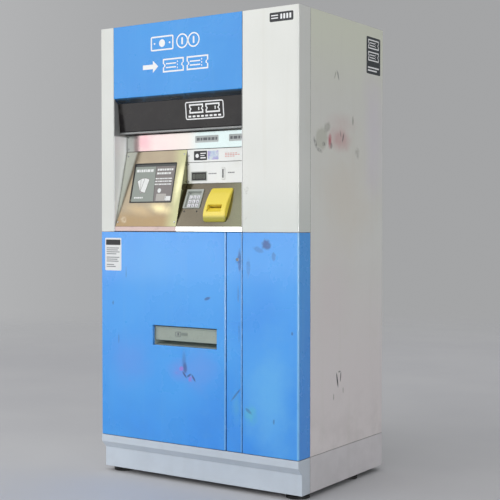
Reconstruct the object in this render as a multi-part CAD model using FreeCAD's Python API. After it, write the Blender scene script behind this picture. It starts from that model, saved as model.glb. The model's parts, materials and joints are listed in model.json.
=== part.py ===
"""Floor-standing ticket vending machine: a sheet-steel cabinet, a full-size hinged front door with a customer
niche and sloped consoles, and the ticket, coin and banknote units behind it.

Row frame, millimetres: the origin is on the floor under the middle of the cabinet, +Z is up, and the
customer's side faces -Y.
"""

import FreeCAD, Part
import math
import os

from FreeCAD import Placement, Rotation, Vector

OUT = "parts"
os.makedirs(OUT, exist_ok=True)

# ---- driving dimensions --------------------------------------------------------------------------
WIDTH = 956.0
DEPTH = 674.0
HEIGHT = 1830.0
SHEET = 2.5                      # casing steel
SEAM = 2.0                       # gap between door and cabinet

LEFT, RIGHT = -WIDTH / 2, WIDTH / 2
FRONT, BACK = -DEPTH / 2, DEPTH / 2

DOOR_DEPTH = 83.0
DOOR_BACK = FRONT + DOOR_DEPTH               # rear plane of the door's right, top and bottom returns
CABINET_FRONT = DOOR_BACK + SEAM
PLINTH_TOP = 155.0
PLINTH_BOTTOM = 20.0
CASE_BOTTOM = PLINTH_TOP + 3.0               # top of the floor pan
DOOR_BOTTOM = PLINTH_TOP + SEAM
SILL = 997.0                     # where the blue lower covers meet the white upper ones

# door front divisions
COLUMN_EDGE = -408.0             # inner edge of the left column
RIGHT_COVER_EDGE = 228.0         # left edge of the right-hand covers
STRIP_LEFT, STRIP_RIGHT = 154.0, 226.0
STRIP_BACK = 2.0                 # the strip is set back by this from the covers beside it
PANEL_RIGHT = 150.0              # right edge of the big lower panel
SIGN_BOTTOM = 1541.0
SIGN_LIGHT_LEVELS = (1610.0, 1740.0)
VISOR_TOP, VISOR_BOTTOM = 1521.0, 1404.0
VISOR_TOP_Y, VISOR_BOTTOM_Y = -313.0, -301.0
NICHE_CEILING = 1397.0
NICHE_BACK = -258.0
HEADER_BOTTOM = 1326.0
INFO_BOTTOM = 1273.0
COIN_PANEL_BOTTOM = 1189.0
SLOPE_BOTTOM = 1018.0            # foot of both sloped console plates
SLOPE_BOTTOM_Y = -334.0
CONSOLE_SPLIT = -91.0            # between the left and right console

# folded sheet
CORNER_R = 6.0                   # outer corners of the door covers
SOFT_R = 10.0                    # the softer right-hand edges of the lower covers
LIP, FLANGE = 17.0, 26.0         # short lips, and the flanges that the panels are fixed by

# hinge
HINGE_X, HINGE_Y = -472.5, -257.5
BARREL_R, PIN_R = 5.0, 2.5
HINGE_DOOR_Y = HINGE_Y - 6.5     # rear face of the door's hinge-side flange
HINGE_CABINET_Y = HINGE_Y + 8.5  # front face of the cabinet's hinge-side flange
HINGE_LEVELS = (300.0, 750.0, 1200.0, 1650.0)
KNUCKLE, KNUCKLE_GAP = 20.0, 0.5

# ticket outlet and what drops into it
OUTLET_LEFT, OUTLET_RIGHT = -207.0, 108.0
OUTLET_BOTTOM, OUTLET_TOP = 544.0, 623.0
WINDOW_BACK = FRONT + 13.0       # how far in the window's edges are folded
FLAP_Y, FLAP_AXIS_Z, FLAP_FOOT = -319.0, 615.0, 563.0
FLAP_HALF_T = 1.7
TRAY_BACK, TRAY_TOP = -226.0, OUTLET_TOP + 16
DUCT_FRONT, DUCT_BACK = -252.0, -228.0
CHANGER_BOTTOM = 930.0
DUCT_X, COIN_DROP_X = 170.0, 88.0            # the coin duct's top, and where it meets the tray

# front frame, and the lock whose latch bar closes behind it
FRAME_LEFT, FRAME_RIGHT, FRAME_BACK = -446.0, 430.0, -232.0
LOCK_X, LOCK_Z = 205.0, 893.0
LATCH_Y, LATCH_T = FRAME_BACK + 3.0, 5.0
LATCH_TRAVEL = 14.0

# keypad
KEY_ROWS, KEY_COLUMNS = 3, 3
KEY_PITCH_X, KEY_PITCH_UP = 18.5, 18.0
KEY_W, KEY_H = 15.0, 14.5
KEY_SHIFT_X, KEY_SHIFT_UP = 3.0, -9.5        # the middle key, from the middle of the keypad
KEY_STANDS_OUT, KEY_TRAVEL = 0.6, 2.0

# printer
PRINTER_X = -50.0
TICKET_W = 58.0
ROLL_R, ROLL_Y, ROLL_Z = 72.0, -10.0, 865.0
PLATEN_R, PLATEN_Y, PLATEN_Z = 9.0, -140.0, 850.0
SHELF_UPPER, SHELF_LOWER = 745.0, 420.0


# ---- helpers -------------------------------------------------------------------------------------
def box(x0, x1, y0, y1, z0, z1):
    return Part.makeBox(x1 - x0, y1 - y0, z1 - z0, Vector(x0, y0, z0))


def cylinder(radius, start, end):
    start, end = Vector(*start), Vector(*end)
    along = end - start
    return Part.makeCylinder(radius, along.Length, start, along)


def face_of(points):
    return Part.Face(Part.makePolygon([*points, points[0]]))


def prism_x(profile, x0, x1):
    """A profile of (y, z) points, run along X."""
    return face_of([Vector(x0, y, z) for y, z in profile]).extrude(Vector(x1 - x0, 0, 0))


def joined(first, *others):
    return first.fuse(list(others)).removeSplitter()


def vertical_edge(shape, x, y):
    """The edges of a shape that run along Z at (x, y)."""
    return [e for e in shape.Edges if len(e.Vertexes) == 2
            and all(abs(v.X - x) < 0.01 and abs(v.Y - y) < 0.01 for v in e.Vertexes)]


def edge_along_x(shape, y, z):
    """The edges of a shape that run along X at (y, z)."""
    return [e for e in shape.Edges if len(e.Vertexes) == 2
            and all(abs(v.Y - y) < 0.01 and abs(v.Z - z) < 0.01 for v in e.Vertexes)]


def rounded_box(x0, x1, y0, y1, z0, z1, corners):
    """A box whose vertical edges at the given (x, y) corners are rounded, each to its own radius."""
    solid = box(x0, x1, y0, y1, z0, z1)
    for (x, y), radius in corners.items():
        solid = solid.makeFillet(radius, vertical_edge(solid, x, y))
    return solid


def save(name, *solids):
    shape = solids[0] if len(solids) == 1 else Part.makeCompound(list(solids))
    shape.exportStep(os.path.join(OUT, name + ".step"))


def slope_y(z, top_z):
    """Where a sloped console plate that starts at the niche's back at top_z is, at height z."""
    return NICHE_BACK + (SLOPE_BOTTOM_Y - NICHE_BACK) * (top_z - z) / (top_z - SLOPE_BOTTOM)


def on_slope(shape, x, z, top_z):
    """Places a flat shape (X across, Z up, -Y out of the plate) on the sloped plate that starts at top_z."""
    tilt = math.degrees(math.atan((NICHE_BACK - SLOPE_BOTTOM_Y) / (top_z - SLOPE_BOTTOM)))
    place = Placement(Vector(x, slope_y(z, top_z), z), Rotation(Vector(1, 0, 0), -tilt))
    moved = shape.copy()
    moved.Placement = place.multiply(shape.Placement)
    return moved


LEFT_SLOPE_TOP = HEADER_BOTTOM - 1.0
RIGHT_SLOPE_TOP = COIN_PANEL_BOTTOM - 1.0


# ---- plinth, feet and floor ----------------------------------------------------------------------
LIP_BOTTOM = 126.0
KICK_TOP, KICK_Y = 100.0, -312.0
FOOT_X, FOOT_ROWS = 424.0, (-252.0, 125.0)
FOOT_R, FOOT_H, STUD_R, STUD_TOP, NUT_R = 45.0, 11.0, 6.0, 75.0, 10.0
BRACKET_Z, BRACKET_T, BRACKET_HALF = 30.0, 6.0, 55.0
ANCHOR_X, ANCHOR_R = 350.0, 7.0
RISER_X = 328.0


def plinth_front():
    """The plinth's front: a flush lip, a sloped underside and a set-back kick plate."""
    profile = [(FRONT, PLINTH_TOP), (FRONT, LIP_BOTTOM), (KICK_Y, KICK_TOP), (KICK_Y, PLINTH_BOTTOM),
               (DOOR_BACK, PLINTH_BOTTOM), (DOOR_BACK, PLINTH_TOP)]
    inner = [(FRONT + SHEET, PLINTH_TOP - SHEET), (FRONT + SHEET, LIP_BOTTOM + 1),
             (KICK_Y + SHEET, KICK_TOP + 1), (KICK_Y + SHEET, 0), (DOOR_BACK + 1, 0),
             (DOOR_BACK + 1, PLINTH_TOP - SHEET)]
    outer = prism_x(profile, LEFT, RIGHT)
    lip_edges = edge_along_x(outer, FRONT, PLINTH_TOP) + edge_along_x(outer, FRONT, LIP_BOTTOM)
    outer = outer.makeFillet(1.8, lip_edges)
    save("plinth_front", outer.cut(prism_x(inner, LEFT + SHEET, RIGHT - SHEET)))


def foot_bracket(side, y):
    """A shelf in the plinth with holes for the foot's stud and a floor anchor, and the riser it hangs by."""
    x0, x1 = sorted((side * RISER_X, side * (RIGHT - SHEET)))
    plate = box(x0, x1, y - BRACKET_HALF, y + BRACKET_HALF, BRACKET_Z, BRACKET_Z + BRACKET_T)
    low, high = BRACKET_Z - 1, BRACKET_Z + BRACKET_T + 1
    for x, radius in ((FOOT_X, STUD_R + 0.5), (ANCHOR_X, ANCHOR_R)):
        plate = plate.cut(cylinder(radius, (side * x, y, low), (side * x, y, high)))
    r0, r1 = sorted((side * RISER_X, side * (RISER_X + 4)))
    riser_front = max(y - BRACKET_HALF, CABINET_FRONT)
    riser = box(r0, r1, riser_front, y + BRACKET_HALF, BRACKET_Z + BRACKET_T, PLINTH_TOP)
    return [plate, riser]


def plinth_surround():
    panels = [box(LEFT, LEFT + SHEET, CABINET_FRONT, BACK, PLINTH_BOTTOM, PLINTH_TOP),
              box(RIGHT - SHEET, RIGHT, CABINET_FRONT, BACK, PLINTH_BOTTOM, PLINTH_TOP),
              box(LEFT + SHEET, RIGHT - SHEET, BACK - SHEET, BACK, PLINTH_BOTTOM, PLINTH_TOP)]
    brackets = [solid for side in (-1, 1) for y in FOOT_ROWS for solid in foot_bracket(side, y)]
    save("plinth_surround", *panels, *brackets)


def levelling_foot(x, y):
    """A rubber-soled pad with its stud, and the nut that stands on the bracket."""
    pad = Part.makeCylinder(FOOT_R, FOOT_H, Vector(x, y, 0))
    pad = pad.makeFillet(2, [e for e in pad.Edges if abs(e.BoundBox.ZMin - FOOT_H) < 0.01])
    boss = Part.makeCone(20, NUT_R, 8, Vector(x, y, FOOT_H))
    stud = cylinder(STUD_R, (x, y, FOOT_H), (x, y, STUD_TOP))
    nut = Part.makeCylinder(NUT_R, 9, Vector(x, y, BRACKET_Z + BRACKET_T))
    return joined(pad, boss, stud, nut)


def levelling_feet():
    save("levelling_feet", *[levelling_foot(side * FOOT_X, y) for side in (-1, 1) for y in FOOT_ROWS])


def floor_pan():
    save("floor_pan", box(LEFT + SHEET, RIGHT - SHEET, CABINET_FRONT, BACK - SHEET, PLINTH_TOP, CASE_BOTTOM))


# ---- cabinet casing ------------------------------------------------------------------------------
REAR_FLANGE = 40.0
FIXING_Z = 1780.0
FIXING_R = 5.0
FIXING_X = RIGHT - 21.0
EDGE_R = 4.0


def side_panel(side):
    """One side of the casing, folded in at the front and at the back."""
    front = HINGE_CABINET_Y if side < 0 else CABINET_FRONT
    outside, inside = side * RIGHT, side * (RIGHT - SHEET)
    x0, x1 = sorted((outside, side * (RIGHT - REAR_FLANGE)))
    low = PLINTH_TOP + 1.5
    shell = rounded_box(x0, x1, front, BACK, low, HEIGHT, {(outside, BACK): EDGE_R})
    beyond = side * (RIGHT - REAR_FLANGE - 1)
    i0, i1 = sorted((inside, beyond))
    shell = shell.cut(box(i0, i1, front + SHEET, BACK - SHEET, 0, HEIGHT + 1))
    f0, f1 = sorted((side * (RIGHT - FLANGE), beyond))
    shell = shell.cut(box(f0, f1, front - 1, front + SHEET + 1, 0, HEIGHT + 1))
    shell = shell.cut(box(i0, i1, front - 1, front + SHEET + 1, HEIGHT - SHEET, HEIGHT + 1))
    shell = shell.cut(box(i0, i1, front - 1, front + SHEET + 1, 0, CASE_BOTTOM))
    fixing = side * FIXING_X
    return shell.cut(cylinder(FIXING_R, (fixing, BACK - 10, FIXING_Z), (fixing, BACK + 10, FIXING_Z)))


def top_panel():
    """The lid, with a lip folded down at the front and at the back."""
    inner = RIGHT - FLANGE - 0.5
    plate = box(LEFT + SHEET, RIGHT - SHEET, HINGE_CABINET_Y, BACK - SHEET, HEIGHT - SHEET, HEIGHT)
    nose = box(-inner, RIGHT - SHEET, CABINET_FRONT, HINGE_CABINET_Y, HEIGHT - SHEET, HEIGHT)
    front_lip = box(-inner, inner, CABINET_FRONT, CABINET_FRONT + SHEET, HEIGHT - 30, HEIGHT)
    far = RIGHT - REAR_FLANGE - 0.5
    rear_lip = box(-far, far, BACK - SHEET, BACK, HEIGHT - 24, HEIGHT)
    save("top_panel", joined(plate, nose, front_lip, rear_lip))


REAR_Y = BACK - 11.0
LOUVRE_ROWS = 9
LOUVRE_PITCH = 26.0
LOUVRE_W = 260.0
LOUVRE_BASES, LOUVRE_COLUMNS = (330.0, 1430.0), (-190.0, 190.0)
SLOT_H, HOOD_MARGIN = 8.0, 4.0
GLAND_X, GLAND_Z = 340.0, 240.0
GLAND_HOLE_R, GLAND_BORE = 14.0, 6.0


def rear_panel():
    edge = RIGHT - REAR_FLANGE - 1.0
    plate = box(-edge, edge, REAR_Y - SHEET, REAR_Y, CASE_BOTTOM + 1, HEIGHT - SHEET - 1)
    slots = []
    hoods = []
    for base in LOUVRE_BASES:
        for x in LOUVRE_COLUMNS:
            for row in range(LOUVRE_ROWS):
                z = base + row * LOUVRE_PITCH
                slots.append(box(x - LOUVRE_W / 2, x + LOUVRE_W / 2, REAR_Y - 5, REAR_Y + 1, z, z + SLOT_H))
                hood = [(REAR_Y - 1, z + 16), (REAR_Y - 1, z + 9.5), (REAR_Y + 7, z), (REAR_Y + 9, z),
                        (REAR_Y + 9, z + 2)]
                hoods.append(prism_x(hood, x - LOUVRE_W / 2 - HOOD_MARGIN, x + LOUVRE_W / 2 + HOOD_MARGIN))
    plate = plate.cut(Part.makeCompound(slots))
    plate = plate.fuse(hoods)
    gland_hole = cylinder(GLAND_HOLE_R, (GLAND_X, REAR_Y - 10, GLAND_Z), (GLAND_X, REAR_Y + 10, GLAND_Z))
    plate = plate.cut(gland_hole)
    save("rear_panel", plate)


def front_frame():
    """The square tube frame round the cabinet's opening, that the door closes on."""
    front = HINGE_CABINET_Y + SHEET
    low, high = CASE_BOTTOM + 32, HEIGHT - SHEET - 32
    bars = [box(LEFT + SHEET, FRAME_LEFT, front, FRAME_BACK, low, high),
            box(FRAME_RIGHT, RIGHT - SHEET, CABINET_FRONT + SHEET, FRAME_BACK, low, high),
            box(LEFT + SHEET, RIGHT - SHEET, front, FRAME_BACK, high, HEIGHT - SHEET),
            box(LEFT + SHEET, RIGHT - SHEET, front, FRAME_BACK, CASE_BOTTOM, low)]
    save("front_frame", *bars)


def equipment_shelves():
    """Two folded shelves on the side walls."""
    shelves = []
    for z in (SHELF_UPPER, SHELF_LOWER):
        deck = box(LEFT + SHEET, RIGHT - SHEET, -190, REAR_Y - SHEET, z, z + 3)
        lip = box(LEFT + SHEET, RIGHT - SHEET, -190, -187, z - 30, z)
        shelves.append(joined(deck, lip))
    save("equipment_shelves", *shelves)


# ---- door covers ---------------------------------------------------------------------------------

def column_shell(x0, x1, back, z0, z1, outer_left, lid, soft_inner):
    """A folded cover: a front, a deep outer return with a rear flange, and short lips at its other edges.

    With a lid its top is closed over the whole depth, and its foot stays open."""
    outside, inner = (x0, x1) if outer_left else (x1, x0)
    shell = rounded_box(x0, x1, FRONT, back, z0, z1, {(outside, FRONT): CORNER_R, (inner, FRONT): soft_inner})
    low = z0 - 1 if lid else z0 + SHEET
    high = z1 - SHEET
    left, right = x0 + SHEET, x1 - SHEET
    outside, inner = (left, right) if outer_left else (right, left)
    corners = {(outside, FRONT + SHEET): CORNER_R - SHEET}
    if soft_inner > SHEET:
        corners[inner, FRONT + SHEET] = soft_inner - SHEET
    shell = shell.cut(rounded_box(left, right, FRONT + SHEET, back - SHEET, low, high, corners))
    through_low, through_high = z0 - 1, (high if lid else z1 + 1)
    f0, f1 = (x0 + FLANGE, x1 + 1) if outer_left else (x0 - 1, x1 - FLANGE)
    shell = shell.cut(box(f0, f1, back - SHEET - 0.5, back + 1, through_low, through_high))
    r0, r1 = (left, x1 + 1) if outer_left else (x0 - 1, right)
    return shell.cut(box(r0, r1, FRONT + LIP, back - SHEET, through_low, through_high))


def service_panel():
    """The big blue lower cover, with the ticket outlet's window, whose edges are rounded and folded in."""
    shell = column_shell(LEFT, PANEL_RIGHT, HINGE_DOOR_Y, DOOR_BOTTOM, SILL - 1, True, False, SOFT_R)
    fold = box(OUTLET_LEFT - 2, OUTLET_RIGHT + 2, FRONT + 1, WINDOW_BACK, OUTLET_BOTTOM - 2, OUTLET_TOP + 2)
    window = box(OUTLET_LEFT, OUTLET_RIGHT, FRONT - 1, WINDOW_BACK + 1, OUTLET_BOTTOM, OUTLET_TOP)
    shell = joined(shell, fold).cut(window)
    rim = [e for e in shell.Edges if abs(e.BoundBox.YMax - FRONT) < 0.01 and e.BoundBox.XMin > OUTLET_LEFT - 1
           and e.BoundBox.XMax < OUTLET_RIGHT + 1 and e.BoundBox.ZMin > OUTLET_BOTTOM - 1
           and e.BoundBox.ZMax < OUTLET_TOP + 1]
    save("service_panel", shell.makeFillet(2.0, rim))


STRIP_DEPTH = 24.0
LOCK_BARREL_R = 11.0


def trim_strip():
    """The narrow blue cover between the big panel and the right-hand cover, set back a little."""
    y, low, high = FRONT + STRIP_BACK, DOOR_BOTTOM, SILL - 1
    shell = rounded_box(STRIP_LEFT, STRIP_RIGHT, y, y + STRIP_DEPTH, low, high,
                        {(STRIP_RIGHT, y): SOFT_R, (STRIP_LEFT, y): 2.0})
    right = STRIP_RIGHT - SHEET
    hollow = rounded_box(STRIP_LEFT + SHEET, right, y + SHEET, y + STRIP_DEPTH + 1, low + SHEET, high - SHEET,
                         {(right, y + SHEET): SOFT_R - SHEET})
    hole = cylinder(LOCK_BARREL_R + 0.2, (LOCK_X, y - 5, LOCK_Z), (LOCK_X, y + 10, LOCK_Z))
    save("trim_strip", shell.cut(hollow).cut(hole))


def covers():
    low = SILL + 0.5
    left_edge = RIGHT_COVER_EDGE + 1
    left_column = column_shell(LEFT, COLUMN_EDGE - 0.5, HINGE_DOOR_Y, low, HEIGHT, True, True, 1.5)
    save("left_column_cover", left_column)
    save("upper_right_cover", column_shell(left_edge, RIGHT, DOOR_BACK, low, HEIGHT, False, True, 1.5))
    lower_right = column_shell(left_edge, RIGHT, DOOR_BACK, DOOR_BOTTOM, SILL - 1, False, False, 3.0)
    save("lower_right_cover", lower_right)


def sign_panel():
    """The sign over the niche: a front plate, a top return and a sloped underside."""
    outer = [(FRONT, SIGN_BOTTOM), (FRONT, HEIGHT), (DOOR_BACK, HEIGHT), (DOOR_BACK, HEIGHT - 3),
             (FRONT + 3, HEIGHT - 3), (FRONT + 3, SIGN_BOTTOM + 1.6), (VISOR_TOP_Y + 1.5, VISOR_TOP + 2),
             (VISOR_TOP_Y, VISOR_TOP)]
    plate = prism_x(outer, COLUMN_EDGE + 0.5, RIGHT_COVER_EDGE - 0.5)
    front_edges = edge_along_x(plate, FRONT, HEIGHT) + edge_along_x(plate, FRONT, SIGN_BOTTOM)
    save("sign_panel", plate.makeFillet(1.5, front_edges))


def sign_lights():
    """Two light bars behind the sign, each a channel with a round tube cover."""
    bars = []
    for z in SIGN_LIGHT_LEVELS:
        channel = box(-370, 190, -300, -288, z, z + 26)
        tube = cylinder(9, (-362, -306, z + 13), (182, -306, z + 13))
        bars.append(joined(channel, tube))
    save("sign_lights", *bars)


def visor_panel():
    """The dark band under the sign, leaning back, with a rolled lower edge."""
    depth = 5.0
    profile = [(VISOR_TOP_Y, VISOR_TOP - 0.5), (VISOR_BOTTOM_Y, VISOR_BOTTOM),
               (VISOR_BOTTOM_Y + 30, VISOR_BOTTOM), (VISOR_BOTTOM_Y + 30, VISOR_BOTTOM + depth),
               (VISOR_BOTTOM_Y + depth, VISOR_BOTTOM + depth), (VISOR_TOP_Y + depth, VISOR_TOP - 0.5)]
    band = prism_x(profile, COLUMN_EDGE + 3.5, RIGHT_COVER_EDGE - 3.5)
    band = band.makeFillet(4.0, edge_along_x(band, VISOR_BOTTOM_Y, VISOR_BOTTOM))
    save("visor_panel", band)


# ---- niche and consoles --------------------------------------------------------------------------
LINER = 2.5


def niche_liner():
    """The niche's two cheeks and its ceiling."""
    cheeks = []
    for x0 in (COLUMN_EDGE, RIGHT_COVER_EDGE - LINER):
        profile = [(FRONT + 1, SILL + 2), (FRONT + 1, SIGN_BOTTOM - 1), (VISOR_TOP_Y - 1.5, VISOR_TOP - 1.5),
                   (VISOR_TOP_Y - 1.5, VISOR_TOP - 4), (NICHE_BACK + 2, VISOR_TOP - 4),
                   (NICHE_BACK + 2, SILL + 2)]
        cheeks.append(prism_x(profile, x0, x0 + LINER))
    x0, x1 = COLUMN_EDGE, RIGHT_COVER_EDGE
    ceiling = box(x0, x1, VISOR_BOTTOM_Y + 3, NICHE_BACK + 2, NICHE_CEILING, NICHE_CEILING + LINER)
    front_lip = box(x0, x1, VISOR_BOTTOM_Y, VISOR_BOTTOM_Y + 3, NICHE_CEILING, VISOR_BOTTOM - 0.5)
    save("niche_liner", joined(cheeks[0], cheeks[1], ceiling, front_lip))


def flat_panel(z0, z1, x0, x1, thick=2.5):
    """An upright niche panel with its four edges folded back."""
    plate = box(x0, x1, NICHE_BACK, NICHE_BACK + 12, z0, z1)
    plate = plate.makeFillet(1.2, edge_along_x(plate, NICHE_BACK, z0) + edge_along_x(plate, NICHE_BACK, z1))
    hollow = box(x0 + thick, x1 - thick, NICHE_BACK + thick, NICHE_BACK + 13, z0 + thick, z1 - thick)
    return plate.cut(hollow)


NICHE_LEFT, NICHE_RIGHT = COLUMN_EDGE + LINER + 0.5, RIGHT_COVER_EDGE - LINER - 0.5
DISPLAY_X0, DISPLAY_X1 = -346.0, -137.0
DISPLAY_Z = 1195.0
DISPLAY_H = 163.0
AMOUNT_X0, AMOUNT_X1, AMOUNT_Z0, AMOUNT_Z1 = -68.0, 3.0, 1202.0, 1233.0
COIN_X, COIN_Z0, COIN_Z1, COIN_SLOT = 85.0, 1210.0, 1243.0, 3.4
RIGHT_PANELS_X = CONSOLE_SPLIT + 0.6


def header_panel():
    save("header_panel", flat_panel(HEADER_BOTTOM + 0.7, NICHE_CEILING - 3, NICHE_LEFT, NICHE_RIGHT))


def banknote_info_panel():
    panel = flat_panel(INFO_BOTTOM + 0.7, HEADER_BOTTOM - 0.7, RIGHT_PANELS_X, NICHE_RIGHT)
    save("banknote_info_panel", panel)


def coin_panel():
    plate = flat_panel(COIN_PANEL_BOTTOM, INFO_BOTTOM - 0.7, RIGHT_PANELS_X, NICHE_RIGHT)
    bezel = box(COIN_X - 8, COIN_X + 8, NICHE_BACK - 2.5, NICHE_BACK + 1, COIN_Z0 - 6, COIN_Z1 + 6)
    corners = [(COIN_X - 8, NICHE_BACK - 2.5), (COIN_X + 8, NICHE_BACK - 2.5)]
    bezel = bezel.makeFillet(1.5, [e for x, y in corners for e in vertical_edge(bezel, x, y)])
    plate = joined(plate, bezel)
    x0, x1 = COIN_X - COIN_SLOT / 2, COIN_X + COIN_SLOT / 2
    slot = box(x0, x1, NICHE_BACK - 5, NICHE_BACK + 8, COIN_Z0, COIN_Z1)
    window = box(AMOUNT_X0, AMOUNT_X1, NICHE_BACK - 1, NICHE_BACK + 5, AMOUNT_Z0, AMOUNT_Z1)
    save("coin_panel", plate.cut(slot).cut(window))


def amount_display():
    """The amount window: a lens set into the coin panel, and the case of its digits behind."""
    play, rim = 0.3, 3.0
    back = NICHE_BACK + SHEET
    lens = box(AMOUNT_X0 + play, AMOUNT_X1 - play, NICHE_BACK + 0.8, back + play,
               AMOUNT_Z0 + play, AMOUNT_Z1 - play)
    case = box(AMOUNT_X0 - rim, AMOUNT_X1 + rim, back + 0.2, NICHE_BACK + 18,
               AMOUNT_Z0 - rim, AMOUNT_Z1 + rim)
    save("amount_display", joined(lens, case))


def console(x0, x1, top_z):
    """A sloped console plate with its lip, bottom and the cheeks that close its ends."""
    top_y = NICHE_BACK
    outer = [(top_y, top_z), (SLOPE_BOTTOM_Y, SLOPE_BOTTOM), (SLOPE_BOTTOM_Y - 1.5, SLOPE_BOTTOM - 0.5),
             (SLOPE_BOTTOM_Y - 1.5, SILL + 2), (top_y + 4, SILL + 2), (top_y + 4, top_z)]
    floor = SILL + 2 + SHEET
    inner = [(top_y + SHEET, top_z + 1), (top_y + SHEET, top_z - 4), (SLOPE_BOTTOM_Y + SHEET, SLOPE_BOTTOM),
             (SLOPE_BOTTOM_Y + SHEET, floor), (top_y + 5, floor), (top_y + 5, top_z + 1)]
    return prism_x(outer, x0, x1).cut(prism_x(inner, x0 + SHEET, x1 - SHEET))


def left_console():
    shell = console(NICHE_LEFT, CONSOLE_SPLIT - 0.4, LEFT_SLOPE_TOP)
    centre = (DISPLAY_X0 + DISPLAY_X1) / 2
    half = (DISPLAY_X1 - DISPLAY_X0) / 2
    window = box(-half, half, -5, 8, -DISPLAY_H / 2, DISPLAY_H / 2)
    save("left_console", shell.cut(on_slope(window, centre, DISPLAY_Z, LEFT_SLOPE_TOP)))


def display_module():
    """The customer display: glass set back in the window, and the panel's metal back with its board cover."""
    centre = (DISPLAY_X0 + DISPLAY_X1) / 2
    half = (DISPLAY_X1 - DISPLAY_X0) / 2 - 0.4
    tall = DISPLAY_H / 2 - 0.4
    glass = box(-half, half, 1.6, 5.2, -tall, tall)
    back = box(-half - 6, half + 6, 5.2, 20, -tall - 6, tall + 6)
    cover = box(-half + 25, half - 25, 20, 32, -tall + 20, tall - 20)
    save("display_module", on_slope(joined(glass, back, cover), centre, DISPLAY_Z, LEFT_SLOPE_TOP))


KEYPAD_X, KEYPAD_Z = -39.0, 1127.0
KEYPAD_HALF = 41.0
WELL_FLOOR, KEY_BACK = 3.0, 8.0
BEZEL_X, BEZEL_Z = 90.0, 1102.0
BEZEL_HALF_W, BEZEL_HALF_H = 52.0, 72.5
BEZEL_OUT, BEZEL_FULLEST = 20.0, -22.0       # how far it stands out, and where, up the plate from its middle
BEZEL_EDGE_R = 4.0
NOTE_X, NOTE_HALF_W = -3.0, 34.0
SLOT_LOW, SLOT_HIGH = -16.0, -8.0            # the note slot, up the plate from the bezel's middle


def right_console():
    shell = console(CONSOLE_SPLIT + 0.4, NICHE_RIGHT, RIGHT_SLOPE_TOP)
    keypad = box(-KEYPAD_HALF + 3, KEYPAD_HALF - 3, -5, 8, -KEYPAD_HALF + 3, KEYPAD_HALF - 3)
    note = box(-BEZEL_HALF_W + 8, BEZEL_HALF_W - 8, -5, 12, -BEZEL_HALF_H + 22, BEZEL_HALF_H - 30)
    shell = shell.cut(on_slope(keypad, KEYPAD_X, KEYPAD_Z, RIGHT_SLOPE_TOP))
    save("right_console", shell.cut(on_slope(note, BEZEL_X, BEZEL_Z, RIGHT_SLOPE_TOP)))


def key_centres():
    """The middle of each key on the keypad's face, row by row from the top left."""
    return [((column - 1) * KEY_PITCH_X + KEY_SHIFT_X, (1 - row) * KEY_PITCH_UP + KEY_SHIFT_UP)
            for row in range(KEY_ROWS) for column in range(KEY_COLUMNS)]


def keypad_frame():
    """A raised rim round a shallow well with a trough at its top, the keys' holes, and the switch board."""
    h = KEYPAD_HALF
    rim = box(-h, h, -3.5, 0, -h, h)
    rim = rim.makeFillet(2.5, [e for e in rim.Edges if e.BoundBox.YLength > 3])
    frame = joined(rim, box(-h + 3.2, h - 3.2, 0, 16, -h + 3.2, h - 3.2))
    well = box(-h + 8, h - 8, -4, WELL_FLOOR, -h + 3.5, h - 8)
    trough = box(-h + 11, h - 11, -4, WELL_FLOOR + 6, h - 20, h - 10)
    frame = frame.cut(well).cut(trough)
    play = 0.4
    half_w, half_h = KEY_W / 2 + play, KEY_H / 2 + play
    for x, up in key_centres():
        frame = frame.cut(box(x - half_w, x + half_w, WELL_FLOOR - 1, KEY_BACK + KEY_TRAVEL + 1,
                              up - half_h, up + half_h))
    save("keypad_frame", on_slope(frame, KEYPAD_X, KEYPAD_Z, RIGHT_SLOPE_TOP))


def keys():
    for number, (x, up) in enumerate(key_centres(), start=1):
        cap = box(x - KEY_W / 2, x + KEY_W / 2, -KEY_STANDS_OUT, KEY_BACK, up - KEY_H / 2, up + KEY_H / 2)
        cap = cap.makeFillet(1.2, [e for e in cap.Edges if e.BoundBox.YMax < 0])
        save(f"key_{number}", on_slope(cap, KEYPAD_X, KEYPAD_Z, RIGHT_SLOPE_TOP))


def banknote_bezel():
    """The moulded note entry: it swells towards its foot, ends in a chin, and has a scoop under its slot."""
    w, h = BEZEL_HALF_W, BEZEL_HALF_H
    fullest = Vector(-w, -BEZEL_OUT, BEZEL_FULLEST)
    swell = Part.Arc(Vector(-w, -2, h), Vector(-w, -16, 25), fullest).toShape()
    chin = Part.Arc(fullest, Vector(-w, -15.5, -52), Vector(-w, -3, -h)).toShape()
    back = Part.makePolygon([Vector(-w, -3, -h), Vector(-w, 0, -h), Vector(-w, 0, h), Vector(-w, -2, h)])
    body = Part.Face(Part.Wire([swell, chin, *back.Edges])).extrude(Vector(2 * w, 0, 0))
    corner = 9.0
    outline = box(-w, w, -BEZEL_OUT - 5, 0, -h, h)
    outline = outline.makeFillet(corner, [e for e in outline.Edges if e.BoundBox.YLength > BEZEL_OUT])
    body = body.common(outline)
    rims = [e for e in body.Edges
            if e.BoundBox.YMax < -0.5 and e.BoundBox.XLength < corner + 1 and e.BoundBox.ZLength > 1]
    body = body.makeFillet(BEZEL_EDGE_R, rims)
    left, right = NOTE_X - NOTE_HALF_W, NOTE_X + NOTE_HALF_W
    scoop = [(-30, SLOT_HIGH + 1), (-6.0, SLOT_HIGH + 1), (-6.0, SLOT_LOW - 1), (-30, -53)]
    body = body.cut(prism_x(scoop, left, right))
    spigot = box(-w + 9, w - 9, -1, 14, -h + 27, h - 33)
    slot = box(left, right, -12, 20, SLOT_LOW, SLOT_HIGH)
    save("banknote_bezel", on_slope(joined(body, spigot).cut(slot), BEZEL_X, BEZEL_Z, RIGHT_SLOPE_TOP))


FEED_R, FEED_SHAFT_R = 8.0, 3.0
FEED_IN, FEED_UP = 60.0, -2.0                # the feed roller's axis: how far behind the plate, and up it


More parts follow.
